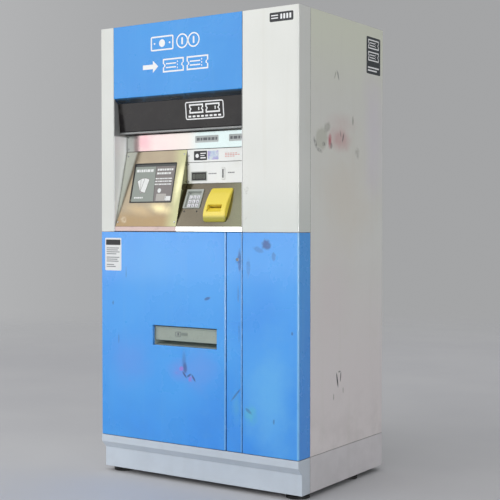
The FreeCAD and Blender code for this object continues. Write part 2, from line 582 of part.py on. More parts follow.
def banknote_validator():
    """The reader behind the note entry, with its note path, its feed roller's pocket and the stacker box."""
    unit = joined(box(-48, 48, 15, 95, -48, 40), box(-46, 46, 95, 150, -60, 60))
    path = box(NOTE_X - NOTE_HALF_W, NOTE_X + NOTE_HALF_W, 14, 130, SLOT_LOW, SLOT_HIGH)
    pocket = box(-32, 32, FEED_IN - 11, FEED_IN + 11, SLOT_HIGH - 1, FEED_UP + 12)
    bearing = cylinder(FEED_SHAFT_R + 0.06, (-40.5, FEED_IN, FEED_UP), (40.5, FEED_IN, FEED_UP))
    unit = unit.cut(path).cut(pocket).cut(bearing)
    save("banknote_validator", on_slope(unit, BEZEL_X, BEZEL_Z, RIGHT_SLOPE_TOP))
    drum = cylinder(FEED_R, (-30, FEED_IN, FEED_UP), (30, FEED_IN, FEED_UP))
    shaft = cylinder(FEED_SHAFT_R, (-40, FEED_IN, FEED_UP), (40, FEED_IN, FEED_UP))
    save("note_feed_roller", on_slope(joined(drum, shaft), BEZEL_X, BEZEL_Z, RIGHT_SLOPE_TOP))


def duct_prism(route, half, front, back):
    """A band of that half width along a route of (x, z) points, between two depths."""
    left = [Vector(x - half, front, z) for x, z in route]
    right = [Vector(x + half, front, z) for x, z in reversed(route)]
    return face_of(left + right).extrude(Vector(0, back - front, 0))


def coin_changer():
    """The coin unit: an inlet from the slot, the sorter body, and the duct that drops change to the tray."""
    front = NICHE_BACK + 13.0
    body = joined(box(COIN_X - 7, 170, front, front + 45, COIN_Z0 - 6, COIN_Z1 + 6),
                  box(154, 222, front, -120, CHANGER_BOTTOM, COIN_Z1 + 6))
    channel = box(COIN_X - COIN_SLOT / 2, COIN_X + COIN_SLOT / 2, front - 1, front + 14, COIN_Z0, COIN_Z1)
    race = box(COIN_X - COIN_SLOT / 2, DUCT_X + 7, front + 10.6, front + 14, COIN_Z0, COIN_Z1)
    drop = box(DUCT_X - 7, DUCT_X + 7, front + 3, front + 14, CHANGER_BOTTOM - 1, COIN_Z1)
    body = body.cut(channel).cut(race).cut(drop)
    for level in range(6):
        groove = CHANGER_BOTTOM + 30 + level * 38.0
        body = body.cut(box(221, 223, front + 10, -130, groove, groove + 3))
    top, foot, half = DUCT_X, COIN_DROP_X, 14.0
    route = ((top, CHANGER_BOTTOM), (top, 914.0), (foot, 700.0), (foot, TRAY_TOP))
    wall = 2.0
    outer = duct_prism(route, half, DUCT_FRONT, DUCT_BACK)
    save("coin_changer", body, outer.cut(duct_prism(route, half - wall, DUCT_FRONT + wall, DUCT_BACK - wall)))


# ---- door frame, hinge and lock ------------------------------------------------------------------
PLUG_R, CRANK_R, CRANK_PIN_R = 7.0, 14.0, 2.5
LATCH_HALF = 9.0
LATCH_RAIL_BACK, LATCH_RAIL_HALF = -264.0, 14.0


def latch_guide(x0, x1):
    """Four blocks on the door frame that leave the slot that the latch bar slides in."""
    play = 0.5
    slot_front, slot_back = LATCH_Y - play, LATCH_Y + LATCH_T + play
    slot_low, slot_high = LOCK_Z - LATCH_HALF - play, LOCK_Z + LATCH_HALF + play
    low, high = LOCK_Z - LATCH_RAIL_HALF, LOCK_Z + LATCH_RAIL_HALF
    return [box(x0, x1, LATCH_RAIL_BACK, slot_front, low, high),
            box(x0, x1, slot_front, slot_back, low, slot_low),
            box(x0, x1, slot_front, slot_back, slot_high, high),
            box(x0, x1, slot_back, slot_back + 3.5, low, high)]


def door_frame_bars():
    """The square tubes inside the door: uprights, cross bars, the light rails and the latch guides' rail."""
    low, high = DOOR_BOTTOM + 5, HEIGHT - 6
    left_back = HINGE_DOOR_Y - SHEET
    right_back = DOOR_BACK - SHEET
    bars = [box(-470, -440, left_back - 30, left_back, low, high),
            box(235, 262, -290, -262, low, high),
            box(440, 470, right_back - 30, right_back, low, high)]
    for z0 in (DOOR_BOTTOM + 12, 955.0, HEIGHT - 42):
        bars.append(box(-440, 235, -292, -268, z0, z0 + 28))
        bars.append(box(262, 440, -288, -264, z0, z0 + 28))
    for x0 in (-340.0, 140.0):
        bars.append(box(x0, x0 + 20, -288, -270, SIGN_LIGHT_LEVELS[0] - 10, HEIGHT - 42))
    bars.append(box(262, 440, -288, LATCH_RAIL_BACK, LOCK_Z - LATCH_RAIL_HALF, LOCK_Z + LATCH_RAIL_HALF))
    bars += latch_guide(270, 290) + latch_guide(385, 405)
    save("door_frame_bars", *bars)


def knuckle_levels(base, first, count):
    """The (low, high) levels of every second knuckle of a hinge that starts at base."""
    pitch = KNUCKLE + KNUCKLE_GAP
    return [(base + (first + 2 * i) * pitch, base + (first + 2 * i) * pitch + KNUCKLE) for i in range(count)]


def hinge_leaves(on_door):
    leaves = []
    clearance = 0.08 if on_door else 0.05
    for base in HINGE_LEVELS:
        tall = 5 * KNUCKLE + 4 * KNUCKLE_GAP
        x0, x1 = HINGE_X - 1.0, HINGE_X + 26.0
        if on_door:
            plate = box(HINGE_X + 5.5, x1, HINGE_DOOR_Y, HINGE_DOOR_Y + 2.5, base, base + tall)
        else:
            plate = box(HINGE_X + 5.5, x1, HINGE_CABINET_Y - 2.5, HINGE_CABINET_Y, base, base + tall)
        parts = [plate]
        for low, high in knuckle_levels(base, 1 if on_door else 0, 2 if on_door else 3):
            parts.append(cylinder(BARREL_R, (HINGE_X, HINGE_Y, low), (HINGE_X, HINGE_Y, high)))
            if on_door:
                parts.append(box(x0, HINGE_X + 6, HINGE_DOOR_Y, HINGE_Y, low, high))
            else:
                parts.append(box(x0, HINGE_X + 6, HINGE_Y, HINGE_CABINET_Y, low, high))
        leaf = joined(*parts)
        bore = cylinder(PIN_R + clearance, (HINGE_X, HINGE_Y, base - 1), (HINGE_X, HINGE_Y, base + tall + 1))
        leaves.append(leaf.cut(bore))
    return leaves


def hinge():
    save("door_hinge_leaves", *hinge_leaves(True))
    save("cabinet_hinge_leaves", *hinge_leaves(False))
    tall = 5 * KNUCKLE + 4 * KNUCKLE_GAP
    pins = []
    for base in HINGE_LEVELS:
        shank = cylinder(PIN_R, (HINGE_X, HINGE_Y, base), (HINGE_X, HINGE_Y, base + tall))
        head = cylinder(BARREL_R - 0.5, (HINGE_X, HINGE_Y, base + tall), (HINGE_X, HINGE_Y, base + tall + 3))
        pins.append(joined(shank, head))
    save("hinge_pins", *pins)


def lock():
    """The key lock: a fixed barrel, a plug with its crank and crank pin, and the latch bar they slide."""
    y = FRONT + STRIP_BACK
    collar = cylinder(13, (LOCK_X, y - 2, LOCK_Z), (LOCK_X, y - 0.1, LOCK_Z))
    collar = collar.makeFillet(1.0, [e for e in collar.Edges if abs(e.BoundBox.YMax - (y - 2)) < 0.01])
    barrel = cylinder(LOCK_BARREL_R, (LOCK_X, y - 0.2, LOCK_Z), (LOCK_X, y + 32, LOCK_Z))
    bore = cylinder(PLUG_R + 0.06, (LOCK_X, y - 5, LOCK_Z), (LOCK_X, y + 40, LOCK_Z))
    save("lock_housing", joined(collar, barrel).cut(bore))
    crank_back = LATCH_Y - 2
    pin_z = LOCK_Z - CRANK_R
    plug = cylinder(PLUG_R, (LOCK_X, y - 1.6, LOCK_Z), (LOCK_X, y + 36, LOCK_Z))
    plug = plug.cut(box(LOCK_X - 0.8, LOCK_X + 0.8, y - 3, y + 14, LOCK_Z - 4.5, LOCK_Z + 4.5))
    rod = cylinder(4, (LOCK_X, y + 35, LOCK_Z), (LOCK_X, crank_back - 2, LOCK_Z))
    crank = box(LOCK_X - 5, LOCK_X + 5, crank_back - 4, crank_back, pin_z - 5, LOCK_Z + 5)
    pin = cylinder(CRANK_PIN_R, (LOCK_X, crank_back, pin_z), (LOCK_X, LATCH_Y + LATCH_T, pin_z))
    save("lock_plug", joined(plug, rod, crank), pin)
    tip = FRAME_RIGHT - 6
    half_slot = 6.5              # the pin runs up to 3 mm ahead of the bar in mid-turn
    slot_low, slot_high = pin_z - 4, LOCK_Z + 4
    latch_back = LATCH_Y + LATCH_T
    head = box(LOCK_X - 16, LOCK_X + 16, LATCH_Y, latch_back, slot_low - 8, slot_high + 10)
    bar = box(LOCK_X + 15, tip, LATCH_Y, latch_back, LOCK_Z - LATCH_HALF, LOCK_Z + LATCH_HALF)
    slot = box(LOCK_X - half_slot, LOCK_X + half_slot, LATCH_Y - 1, latch_back + 1, slot_low, slot_high)
    save("latch_bar", joined(head, bar).cut(slot))


# ---- ticket outlet -------------------------------------------------------------------------------
TRAY_WALL = 2.0


def outlet_tray():
    """The tray behind the outlet: side walls, a floor that falls to the front, a back and a slotted roof."""
    x0, x1 = OUTLET_LEFT - 2.5, OUTLET_RIGHT + 2.5
    front = WINDOW_BACK + 0.3
    side = [(front, OUTLET_BOTTOM - 3), (TRAY_BACK, OUTLET_BOTTOM + 6), (TRAY_BACK, TRAY_TOP),
            (front, TRAY_TOP)]
    hollow = [(front - 1, OUTLET_BOTTOM - 0.5), (TRAY_BACK - TRAY_WALL, OUTLET_BOTTOM + 8.5),
              (TRAY_BACK - TRAY_WALL, TRAY_TOP - TRAY_WALL), (front - 1, TRAY_TOP - TRAY_WALL)]
    shell = prism_x(side, x0, x1).cut(prism_x(hollow, x0 + TRAY_WALL, x1 - TRAY_WALL))
    for x, half in ((PRINTER_X, TICKET_W / 2 + 12), (COIN_DROP_X, 12.0)):
        shell = shell.cut(box(x - half, x + half, DUCT_FRONT + 1, DUCT_BACK, TRAY_TOP - 3, TRAY_TOP + 1))
    pin_holes = cylinder(2.1, (x0 - 1, FLAP_Y, FLAP_AXIS_Z), (x1 + 1, FLAP_Y, FLAP_AXIS_Z))
    save("outlet_tray", shell.cut(pin_holes))


def outlet_flap():
    """The flap that closes the outlet, hung on a pin at its top edge."""
    x0, x1 = OUTLET_LEFT + 1.5, OUTLET_RIGHT - 1.5
    front, back = FLAP_Y - FLAP_HALF_T, FLAP_Y + FLAP_HALF_T
    plate = box(x0, x1, front, back, FLAP_FOOT, FLAP_AXIS_Z)
    foot_edges = edge_along_x(plate, front, FLAP_FOOT) + edge_along_x(plate, back, FLAP_FOOT)
    plate = plate.makeFillet(1.2, foot_edges)
    roll = cylinder(4.0, (x0, FLAP_Y, FLAP_AXIS_Z), (x1, FLAP_Y, FLAP_AXIS_Z))
    pin = cylinder(2.05, (OUTLET_LEFT - 2.4, FLAP_Y, FLAP_AXIS_Z), (OUTLET_RIGHT + 2.4, FLAP_Y, FLAP_AXIS_Z))
    save("outlet_flap", joined(plate, roll, pin))


# ---- cabinet equipment ---------------------------------------------------------------------------
PRINTER_X0, PRINTER_X1 = PRINTER_X - TICKET_W / 2 - 8, PRINTER_X + TICKET_W / 2 + 8
SPINDLE_R, SHAFT_R = 6.0, 4.0
BLADE_Y, BLADE_T = -166.0, 1.6


def printer_frame():
    """The ticket printer's chassis: two cheeks with the blade's guides, a base, a print head and a guide."""
    x0, x1 = PRINTER_X0, PRINTER_X1
    deck = SHELF_UPPER + 3
    base = box(x0, x1, -175, 70, deck, deck + 6)
    cheek = [(-175, deck + 5), (70, deck + 5), (70, 900), (20, 935), (-60, 935), (-110, 885), (-175, 885)]
    head = box(x0 + 2, x1 - 2, -150, -120, PLATEN_Z + PLATEN_R + 1, PLATEN_Z + PLATEN_R + 16)
    guide = box(x0 + 2, x1 - 2, -120, -95, PLATEN_Z - 8, PLATEN_Z - 4)
    frame = joined(base, prism_x(cheek, x0, x0 + 3), prism_x(cheek, x1 - 3, x1), head, guide)
    ribs = []
    for y0, y1 in ((BLADE_Y - 2.5, BLADE_Y - 0.35), (BLADE_Y + BLADE_T + 0.35, BLADE_Y + BLADE_T + 2.5)):
        ribs.append(box(x0 + 2, x0 + 8, y0, y1, 812, 868))
        ribs.append(box(x1 - 8, x1 - 2, y0, y1, 812, 868))
    frame = joined(frame, *ribs)
    for y, z, radius in ((ROLL_Y, ROLL_Z, SPINDLE_R + 0.08), (PLATEN_Y, PLATEN_Z, SHAFT_R + 0.06)):
        frame = frame.cut(cylinder(radius, (x0 - 5, y, z), (x1 + 5, y, z)))
    save("printer_frame", frame)


def printer_rollers():
    x0, x1 = PRINTER_X - TICKET_W / 2, PRINTER_X + TICKET_W / 2
    roll = cylinder(ROLL_R, (x0, ROLL_Y, ROLL_Z), (x1, ROLL_Y, ROLL_Z))
    core = cylinder(14, (x0 - 3, ROLL_Y, ROLL_Z), (x1 + 3, ROLL_Y, ROLL_Z))
    spindle = cylinder(SPINDLE_R, (x0 - 8, ROLL_Y, ROLL_Z), (x1 + 8, ROLL_Y, ROLL_Z))
    save("paper_roll", joined(roll, core, spindle))
    drum = cylinder(PLATEN_R, (x0 - 2, PLATEN_Y, PLATEN_Z), (x1 + 2, PLATEN_Y, PLATEN_Z))
    shaft = cylinder(SHAFT_R, (x0 - 8, PLATEN_Y, PLATEN_Z), (x1 + 14, PLATEN_Y, PLATEN_Z))
    gear = cylinder(15, (x1 + 9, PLATEN_Y, PLATEN_Z), (x1 + 14, PLATEN_Y, PLATEN_Z))
    save("platen_roller", joined(drum, shaft, gear))


def cutter_blade():
    """A blade with a shallow vee edge, that rises through the paper's path."""
    x0, x1 = PRINTER_X0 + 3.5, PRINTER_X1 - 3.5
    outline = [Vector(x0, BLADE_Y, 820), Vector(x0, BLADE_Y, 848), Vector(PRINTER_X, BLADE_Y, 843),
               Vector(x1, BLADE_Y, 848), Vector(x1, BLADE_Y, 820)]
    save("cutter_blade", face_of(outline).extrude(Vector(0, BLADE_T, 0)))


def ticket_chute():
    """A sheet-metal chute from the printer's mouth down to the slot in the tray's roof."""
    x0, x1 = PRINTER_X - TICKET_W / 2 - 10, PRINTER_X + TICKET_W / 2 + 10
    foot = TRAY_TOP + 8
    outer = [(-178, 880), (-178, 832), (-214, 770), (-229, 700), (-229, foot), (-250, foot), (-250, 740),
             (-226, 840), (-210, 880)]
    inner = [(-177, 878), (-180, 832), (-216, 771), (-231, 700), (-231, foot - 1), (-248, foot - 1),
             (-248, 740), (-224, 839), (-208.5, 878)]
    chute = prism_x(outer, x0, x1).cut(prism_x(inner, x0 + 2, x1 - 2))
    save("ticket_chute", chute.cut(box(x0 + 2, x1 - 2, -182, -170, 836, 876)))


def cash_box():
    x0, x1, y0, y1 = 120.0, 300.0, -180.0, 70.0
    z0, z1 = SHELF_LOWER + 3, SHELF_LOWER + 130
    shell = rounded_box(x0, x1, y0, y1, z0, z1, {(x, y): 8 for x in (x0, x1) for y in (y0, y1)})
    shell = shell.cut(box(x0 + 2.5, x1 - 2.5, y0 + 2.5, y1 - 2.5, z0 + 2.5, z1 + 1))
    grip_y, grip_z = y0 - 30, z1 - 44
    posts = [cylinder(4.5, (x, grip_y + 6, grip_z), (x, y0, grip_z)) for x in (160.0, 260.0)]
    grip = box(150, 270, grip_y - 6, grip_y + 6, grip_z - 6, grip_z + 6)
    grip = grip.makeFillet(4, [e for e in grip.Edges if e.BoundBox.XLength > 50])
    save("cash_box", shell, grip, *posts)


def main_controller():
    """The control unit on the rear wall: a case with a finned heat sink and a row of sockets."""
    case = box(-210, 170, 220, 300, 960, 1330)
    fins = [box(-190 + i * 24, -184 + i * 24, 196, 220, 1140, 1310) for i in range(15)]
    sockets = [box(-180 + i * 52, -144 + i * 52, 208, 220, 990, 1012) for i in range(6)]
    save("main_controller", joined(case, *fins, *sockets))


def power_supply():
    case = box(-400, -190, 60, 260, SHELF_LOWER + 3, SHELF_LOWER + 103)
    slots = [box(-401, -189, 80 + i * 20, 86 + i * 20, SHELF_LOWER + 92, SHELF_LOWER + 104) for i in range(8)]
    terminals = box(-370, -220, 44, 60, SHELF_LOWER + 20, SHELF_LOWER + 44)
    save("power_supply", joined(case.cut(Part.makeCompound(slots)), terminals))


FAN_X, FAN_Z = 190.0, 1547.0
FAN_HALF, FAN_BORE, FAN_DEPTH = 86.0, 80.0, 38.0
BLADES, BLADE_REACH, HUB_R = 7, 76.0, 26.0


def fan():
    """The exhaust fan behind the upper louvres: a square housing with three struts, and its bladed rotor."""
    back = REAR_Y - SHEET
    front = back - FAN_DEPTH
    middle = (front + back) / 2
    housing = box(FAN_X - FAN_HALF, FAN_X + FAN_HALF, front, back, FAN_Z - FAN_HALF, FAN_Z + FAN_HALF)
    housing = housing.cut(cylinder(FAN_BORE, (FAN_X, front - 1, FAN_Z), (FAN_X, back + 1, FAN_Z)))
    motor = cylinder(HUB_R, (FAN_X, back - 8, FAN_Z), (FAN_X, back, FAN_Z))
    struts = []
    for turn in (90, 210, 330):
        strut = box(0, FAN_BORE + 1, back - 4, back, -4, 4)
        strut.rotate(Vector(0, 0, 0), Vector(0, 1, 0), turn)
        struts.append(strut.translated(Vector(FAN_X, 0, FAN_Z)))
    housing = joined(housing, motor, *struts)
    save("fan_housing", housing.cut(cylinder(3.06, (FAN_X, back - 9, FAN_Z), (FAN_X, back - 1, FAN_Z))))
    hub = cylinder(HUB_R, (FAN_X, front + 4, FAN_Z), (FAN_X, back - 9, FAN_Z))
    shaft = cylinder(3, (FAN_X, back - 10, FAN_Z), (FAN_X, back - 2, FAN_Z))
    blades = []
    for index in range(BLADES):
        blade = box(HUB_R - 4, BLADE_REACH, -1, 1, -13, 13)
        blade.rotate(Vector(0, 0, 0), Vector(1, 0, 0), 50)
        blade.rotate(Vector(0, 0, 0), Vector(0, 1, 0), 360.0 * index / BLADES)
        blades.append(blade.translated(Vector(FAN_X, middle - 2, FAN_Z)))
    save("fan_rotor", joined(hub, shaft, *blades))


def mains_inlet():
    """The cable gland in the rear panel: a threaded body, its inner nut and the dome that grips the cable."""
    hexagon = [Vector(GLAND_X + 18 * math.cos(a), REAR_Y - SHEET - 8, GLAND_Z + 18 * math.sin(a))
               for a in [math.pi / 3 * i for i in range(6)]]
    nut = face_of(hexagon).extrude(Vector(0, 8, 0))
    inside = REAR_Y - SHEET - 14
    body = cylinder(GLAND_HOLE_R - 0.2, (GLAND_X, inside, GLAND_Z), (GLAND_X, REAR_Y + 1, GLAND_Z))
    dome = cylinder(17, (GLAND_X, REAR_Y, GLAND_Z), (GLAND_X, BACK - 1, GLAND_Z))
    dome = dome.makeFillet(3, [e for e in dome.Edges if abs(e.BoundBox.YMin - (BACK - 1)) < 0.01])
    gland = joined(body, nut, dome)
    bore = cylinder(GLAND_BORE, (GLAND_X, REAR_Y - 40, GLAND_Z), (GLAND_X, BACK + 5, GLAND_Z))
    save("mains_inlet", gland.cut(bore))


def main():
    plinth_front()
    plinth_surround()
    levelling_feet()
    floor_pan()
    save("left_side_panel", side_panel(-1))
    save("right_side_panel", side_panel(1))
    top_panel()
    rear_panel()
    front_frame()
    equipment_shelves()
    service_panel()
    trim_strip()
    covers()
    sign_panel()
    sign_lights()
    visor_panel()
    niche_liner()
    header_panel()
    banknote_info_panel()
    coin_panel()
    amount_display()
    left_console()
    display_module()
    right_console()
    keypad_frame()
    keys()
    banknote_bezel()
    banknote_validator()
    coin_changer()
    door_frame_bars()
    hinge()
    lock()
    outlet_tray()
    outlet_flap()
    printer_frame()
    printer_rollers()
    cutter_blade()
    ticket_chute()
    cash_box()
    main_controller()
    power_supply()
    fan()
    mains_inlet()


main()
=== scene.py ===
"""How the ticket vending machine looks: its paints, metals, plastics, signs and labels, and the studio."""

import json
import math

import bmesh
import bpy
from mathutils import Matrix, Vector


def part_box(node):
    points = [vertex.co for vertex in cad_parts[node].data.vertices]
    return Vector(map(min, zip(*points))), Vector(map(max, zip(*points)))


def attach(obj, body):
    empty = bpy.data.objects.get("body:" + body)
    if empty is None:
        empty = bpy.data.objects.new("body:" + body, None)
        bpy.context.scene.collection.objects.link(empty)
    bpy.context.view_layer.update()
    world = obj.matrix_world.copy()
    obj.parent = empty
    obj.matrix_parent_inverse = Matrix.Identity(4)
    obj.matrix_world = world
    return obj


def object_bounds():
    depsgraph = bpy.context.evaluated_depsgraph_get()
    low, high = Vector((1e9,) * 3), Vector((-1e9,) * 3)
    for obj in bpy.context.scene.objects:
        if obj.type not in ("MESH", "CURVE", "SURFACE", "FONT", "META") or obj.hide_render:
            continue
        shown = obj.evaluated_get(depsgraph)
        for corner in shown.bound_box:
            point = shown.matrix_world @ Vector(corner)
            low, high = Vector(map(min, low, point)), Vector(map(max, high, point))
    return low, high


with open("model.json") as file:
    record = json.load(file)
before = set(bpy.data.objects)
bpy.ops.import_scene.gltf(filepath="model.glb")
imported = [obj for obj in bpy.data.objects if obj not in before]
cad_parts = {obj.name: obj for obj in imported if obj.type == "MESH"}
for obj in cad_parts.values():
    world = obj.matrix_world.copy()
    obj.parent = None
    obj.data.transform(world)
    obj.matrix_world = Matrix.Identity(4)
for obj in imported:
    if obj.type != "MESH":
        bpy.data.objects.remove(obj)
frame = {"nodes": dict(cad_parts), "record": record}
CAD_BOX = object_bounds()
NODES = frame["nodes"]
MM = 0.001
FILM, THIN_FILM, SUNK = 0.00015, 0.00006, 0.00005   # printed films, and how far a plate is let into its face
TRIM, FLAP_MARK = 0.0012, 0.0004   # thickness of the slim trims, and of the marks on the outlet flap
LIP_TOP = 1.0175                   # top of the folded edge below the consoles
PATCH_DEPTH = 0.6                  # how deep a patch's ellipse reaches, for a stain or a painted reflection, more than the front is stepped


# ---- colours -------------------------------------------------------------------------------------
def tone(red, green, blue):
    """A colour given in everyday 0-255 screen values, as the linear colour that the shaders take."""
    def linear(value):
        value /= 255.0
        return value / 12.92 if value <= 0.04045 else ((value + 0.055) / 1.055) ** 2.4
    return (linear(red), linear(green), linear(blue), 1.0)


WHITE, WHITE_AGED = tone(236, 237, 231), tone(218, 216, 204)
BLUE, BLUE_DEEP, BLUE_PALE = tone(72, 172, 255), tone(54, 152, 248), tone(108, 186, 250)
# on the next line: a painted highlight for the rounded edges of the blue panels, and the painted shade in
# their seams
BLUE_EDGE_HIGHLIGHT, SEAM_SHADE_BLUE = tone(122, 196, 255), tone(34, 92, 158)
# the plinth's front paint carries a painted blue bounce light; its side is the same off-white without it
PLINTH_BLUE_BOUNCE, PLINTH_DEEP_BLUE_BOUNCE = tone(214, 224, 234), tone(204, 214, 224)
# the brown-grey of the dirt low down and of the flecks, and also of the painted shade in seams
GRIME_AND_SEAM_SHADE = tone(92, 86, 76)
INK, INK_SOFT = tone(44, 46, 50), tone(108, 112, 116)
LABEL_WHITE = tone(238, 240, 240)
PINK, SOOT, SCUFF = tone(204, 122, 128), tone(48, 44, 46), tone(140, 140, 126)
RED, VIOLET, MAGENTA = tone(196, 74, 92), tone(132, 140, 236), tone(176, 112, 214)
SHADE_BLUE = tone(58, 88, 150)


# ---- material graphs -----------------------------------------------------------------------------
class Graph:
    """A material's node tree, built with short calls that each give back a socket."""

    def __init__(self, name, **constants):
        self.material = bpy.data.materials.new(name)
        self.material.use_nodes = True
        self.tree = self.material.node_tree
        self.shader = self.tree.nodes["Principled BSDF"]
        for socket, value in constants.items():
            self.shader.inputs[socket.replace("_", " ")].default_value = value
        place = self.add("ShaderNodeTexCoord")
        self.position, self.normal = place.outputs["Object"], place.outputs["Normal"]

    def add(self, kind, inputs=(), **settings):
        node = self.tree.nodes.new(kind)
        for key, value in settings.items():
            setattr(node, key, value)
        for key, value in dict(inputs).items():
            self.put(node.inputs[key], value)
        return node

    def put(self, socket, value):
        if isinstance(value, bpy.types.NodeSocket):
            self.tree.links.new(value, socket)
        elif value is not None:
            socket.default_value = value

    def set(self, socket, value):
        self.put(self.shader.inputs[socket], value)

    def mapped(self, scale=(1, 1, 1), place=(0, 0, 0), turn=(0, 0, 0), kind="POINT"):
        inputs = {"Vector": self.position, "Location": place, "Rotation": turn, "Scale": scale}
        return self.add("ShaderNodeMapping", inputs, vector_type=kind).outputs[0]

    def noise(self, scale, detail=3.0, roughness=0.55, stretch=None, distortion=0.0):
        vector = self.mapped(stretch) if stretch else self.position
        inputs = {"Vector": vector, "Scale": scale, "Detail": detail, "Roughness": roughness,
                  "Distortion": distortion}
        return self.add("ShaderNodeTexNoise", inputs).outputs["Fac"]

    def cells(self, scale, stretch=None):
        vector = self.mapped(stretch) if stretch else self.position
        return self.add("ShaderNodeTexVoronoi", {"Vector": vector, "Scale": scale}).outputs["Distance"]

    def ramp(self, value, low, high, out_low=0.0, out_high=1.0):
        """A smooth step of value between low and high."""
        inputs = {"Value": value, "From Min": low, "From Max": high, "To Min": out_low, "To Max": out_high}
        return self.add("ShaderNodeMapRange", inputs, interpolation_type="SMOOTHSTEP").outputs[0]

    def math(self, operation, a, b=None, c=None):
        node = self.add("ShaderNodeMath", {0: a}, operation=operation)
        for index, value in ((1, b), (2, c)):
            self.put(node.inputs[index], value)
        return node.outputs[0]

    def times(self, a, b):
        return self.math("MULTIPLY", a, b)

    def most(self, *values):
        result = values[0]
        for value in values[1:]:
            result = self.math("MAXIMUM", result, value)
        return result

    def mix(self, share, a, b):
        """Colour a where share is 0, b where it is 1."""
        node = self.add("ShaderNodeMix", data_type="RGBA")
        self.put(node.inputs[0], share)
        self.put(node.inputs[6], a)
        self.put(node.inputs[7], b)
        return node.outputs[2]

    def coordinate(self, axis):
        """X, Y or Z, or a slanted one given as a direction."""
        if isinstance(axis, tuple):
            node = self.add("ShaderNodeVectorMath", {0: self.position, 1: axis}, operation="DOT_PRODUCT")
            return node.outputs["Value"]
        return self.add("ShaderNodeSeparateXYZ", {0: self.position}).outputs["XYZ".index(axis)]

    def shaded_crevices(self, reach):
        """An ambient occlusion mask for painted shade: 1 deep in corners and seams, 0 on open faces."""
        node = self.add("ShaderNodeAmbientOcclusion", {"Distance": reach}, samples=6)
        return self.ramp(node.outputs["AO"], 0.35, 0.95, 1.0, 0.0)

    def bump(self, height, strength, distance):
        """Chains one more layer of relief onto the shader's normal."""
        inputs = {"Height": height, "Strength": strength, "Distance": distance}
        node, normal = self.add("ShaderNodeBump", inputs), self.shader.inputs["Normal"]
        if normal.is_linked:
            self.put(node.inputs["Normal"], normal.links[0].from_socket)
        self.put(normal, node.outputs[0])

    def soft_edges(self, radius):
        """Makes the folded sheet's edges catch the light."""
        bevel = self.add("ShaderNodeBevel", {"Radius": radius}, samples=4)
        self.put(self.shader.inputs["Normal"], bevel.outputs[0])

    def patch(self, place, size, turn, across, ragged, break_up, keep, full, soft):
        """A stain, a scrape or a patch of painted reflection: 1 inside a ragged ellipse at place, broken up
        by fine noise, 0 outside.

        across is the face's sideways axis: X for the front, Y for the right side, and only faces that look
        out that way are marked. ragged is how far the outline wanders, break_up is the noise's scale, keep is
        the share that it leaves, full is where the mark is at its strongest, as a share of its size, and soft
        is how gently the noise breaks it up."""
        if across == "X":
            scale, rotation, outward = (size[0], PATCH_DEPTH, size[1]), (0, turn, 0), (0, -1, 0)
        else:
            scale, rotation, outward = (PATCH_DEPTH, size[0], size[1]), (turn, 0, 0), (1, 0, 0)
        local = self.mapped(scale, place, rotation, kind="TEXTURE")
        reach = self.add("ShaderNodeVectorMath", {0: local}, operation="LENGTH").outputs["Value"]
        wander = self.noise(1.4 / max(size), detail=4.0, roughness=0.65)
        edge = self.math("ADD", reach, self.times(self.math("SUBTRACT", wander, 0.5), 2.0 * ragged))
        facing = self.add("ShaderNodeVectorMath", {0: self.normal, 1: outward}, operation="DOT_PRODUCT")
        body = self.times(self.ramp(edge, 1.0, full), self.ramp(facing.outputs["Value"], 0.3, 0.6))
        grain = self.noise(break_up, detail=5.0, roughness=0.7)
        flecks = self.ramp(grain, 1.0 - keep - soft, 1.0 - keep + soft)
        return self.times(body, flecks)


def paint(name, base, deep, aged, marks=(), gloss=0.34, foot_dirt=0.5, tints=(), seam_shade_tone=GRIME_AND_SEAM_SHADE, coat=0.6):
    """Sprayed sheet steel: slow tone changes, faint drip streaks, rubbed spots, dirt low down and painted
    shade in the seams.

    marks are (patch socket maker, colour, strength) for the stains of one panel, and tints are
    (axis, from, to, colour) for tones that come in along one axis."""
    g = Graph(name, Specular_IOR_Level=0.45, Coat_Weight=coat, Coat_Roughness=0.09)
    slow = g.ramp(g.noise(1.6, detail=3.0), 0.3, 0.72)
    colour = g.mix(slow, base, deep)
    for axis, start, end, tint in tints:
        colour = g.mix(g.ramp(g.coordinate(axis), start, end), colour, tint)
    streak = g.times(g.ramp(g.noise(26.0, detail=4.0, stretch=(1, 1, 0.05)), 0.52, 0.78), 0.175)
    colour = g.mix(streak, colour, aged)
    blotch = g.times(g.ramp(g.noise(9.0, detail=6.0, roughness=0.7), 0.55, 0.75), 0.16)
    colour = g.mix(blotch, colour, aged)
    low = g.times(g.ramp(g.coordinate("Z"), 0.5, 0.02), g.ramp(g.noise(14.0, detail=5.0), 0.35, 0.7))
    colour = g.mix(g.times(low, foot_dirt * 0.3), colour, GRIME_AND_SEAM_SHADE)
    fleck = g.ramp(g.noise(75.0, detail=6.0, roughness=0.75), 0.69, 0.76)
    colour = g.mix(g.times(fleck, 0.3), colour, GRIME_AND_SEAM_SHADE)
    # painted shade: seams and corners darkened by the ambient occlusion mask
    seam_shade = g.times(g.shaded_crevices(0.012), g.ramp(g.noise(30.0, detail=4.0), 0.25, 0.6, 0.35, 0.8))
    colour = g.mix(seam_shade, colour, seam_shade_tone)
    wear = fleck
    for make, stain, strength in marks:
        spot = make(g)
        colour = g.mix(g.times(spot, strength), colour, stain)
        wear = g.most(wear, spot)
    g.set("Base Color", colour)
    ground = g.ramp(g.noise(5.0, detail=5.0), 0.3, 0.75, gloss - 0.05, gloss + 0.1)
    rough = g.math("ADD", ground, g.times(wear, 0.22))
    g.set("Roughness", rough)
    g.soft_edges(0.0022)
    g.bump(g.noise(420.0, detail=2.0), 0.05, 0.0004)
    g.bump(g.noise(3.2, detail=1.0), 0.10, 0.004)
    return g.material


def patch_of(*args):
    """A patch that is made later, on the graph it is given."""
    return lambda g: g.patch(*args)


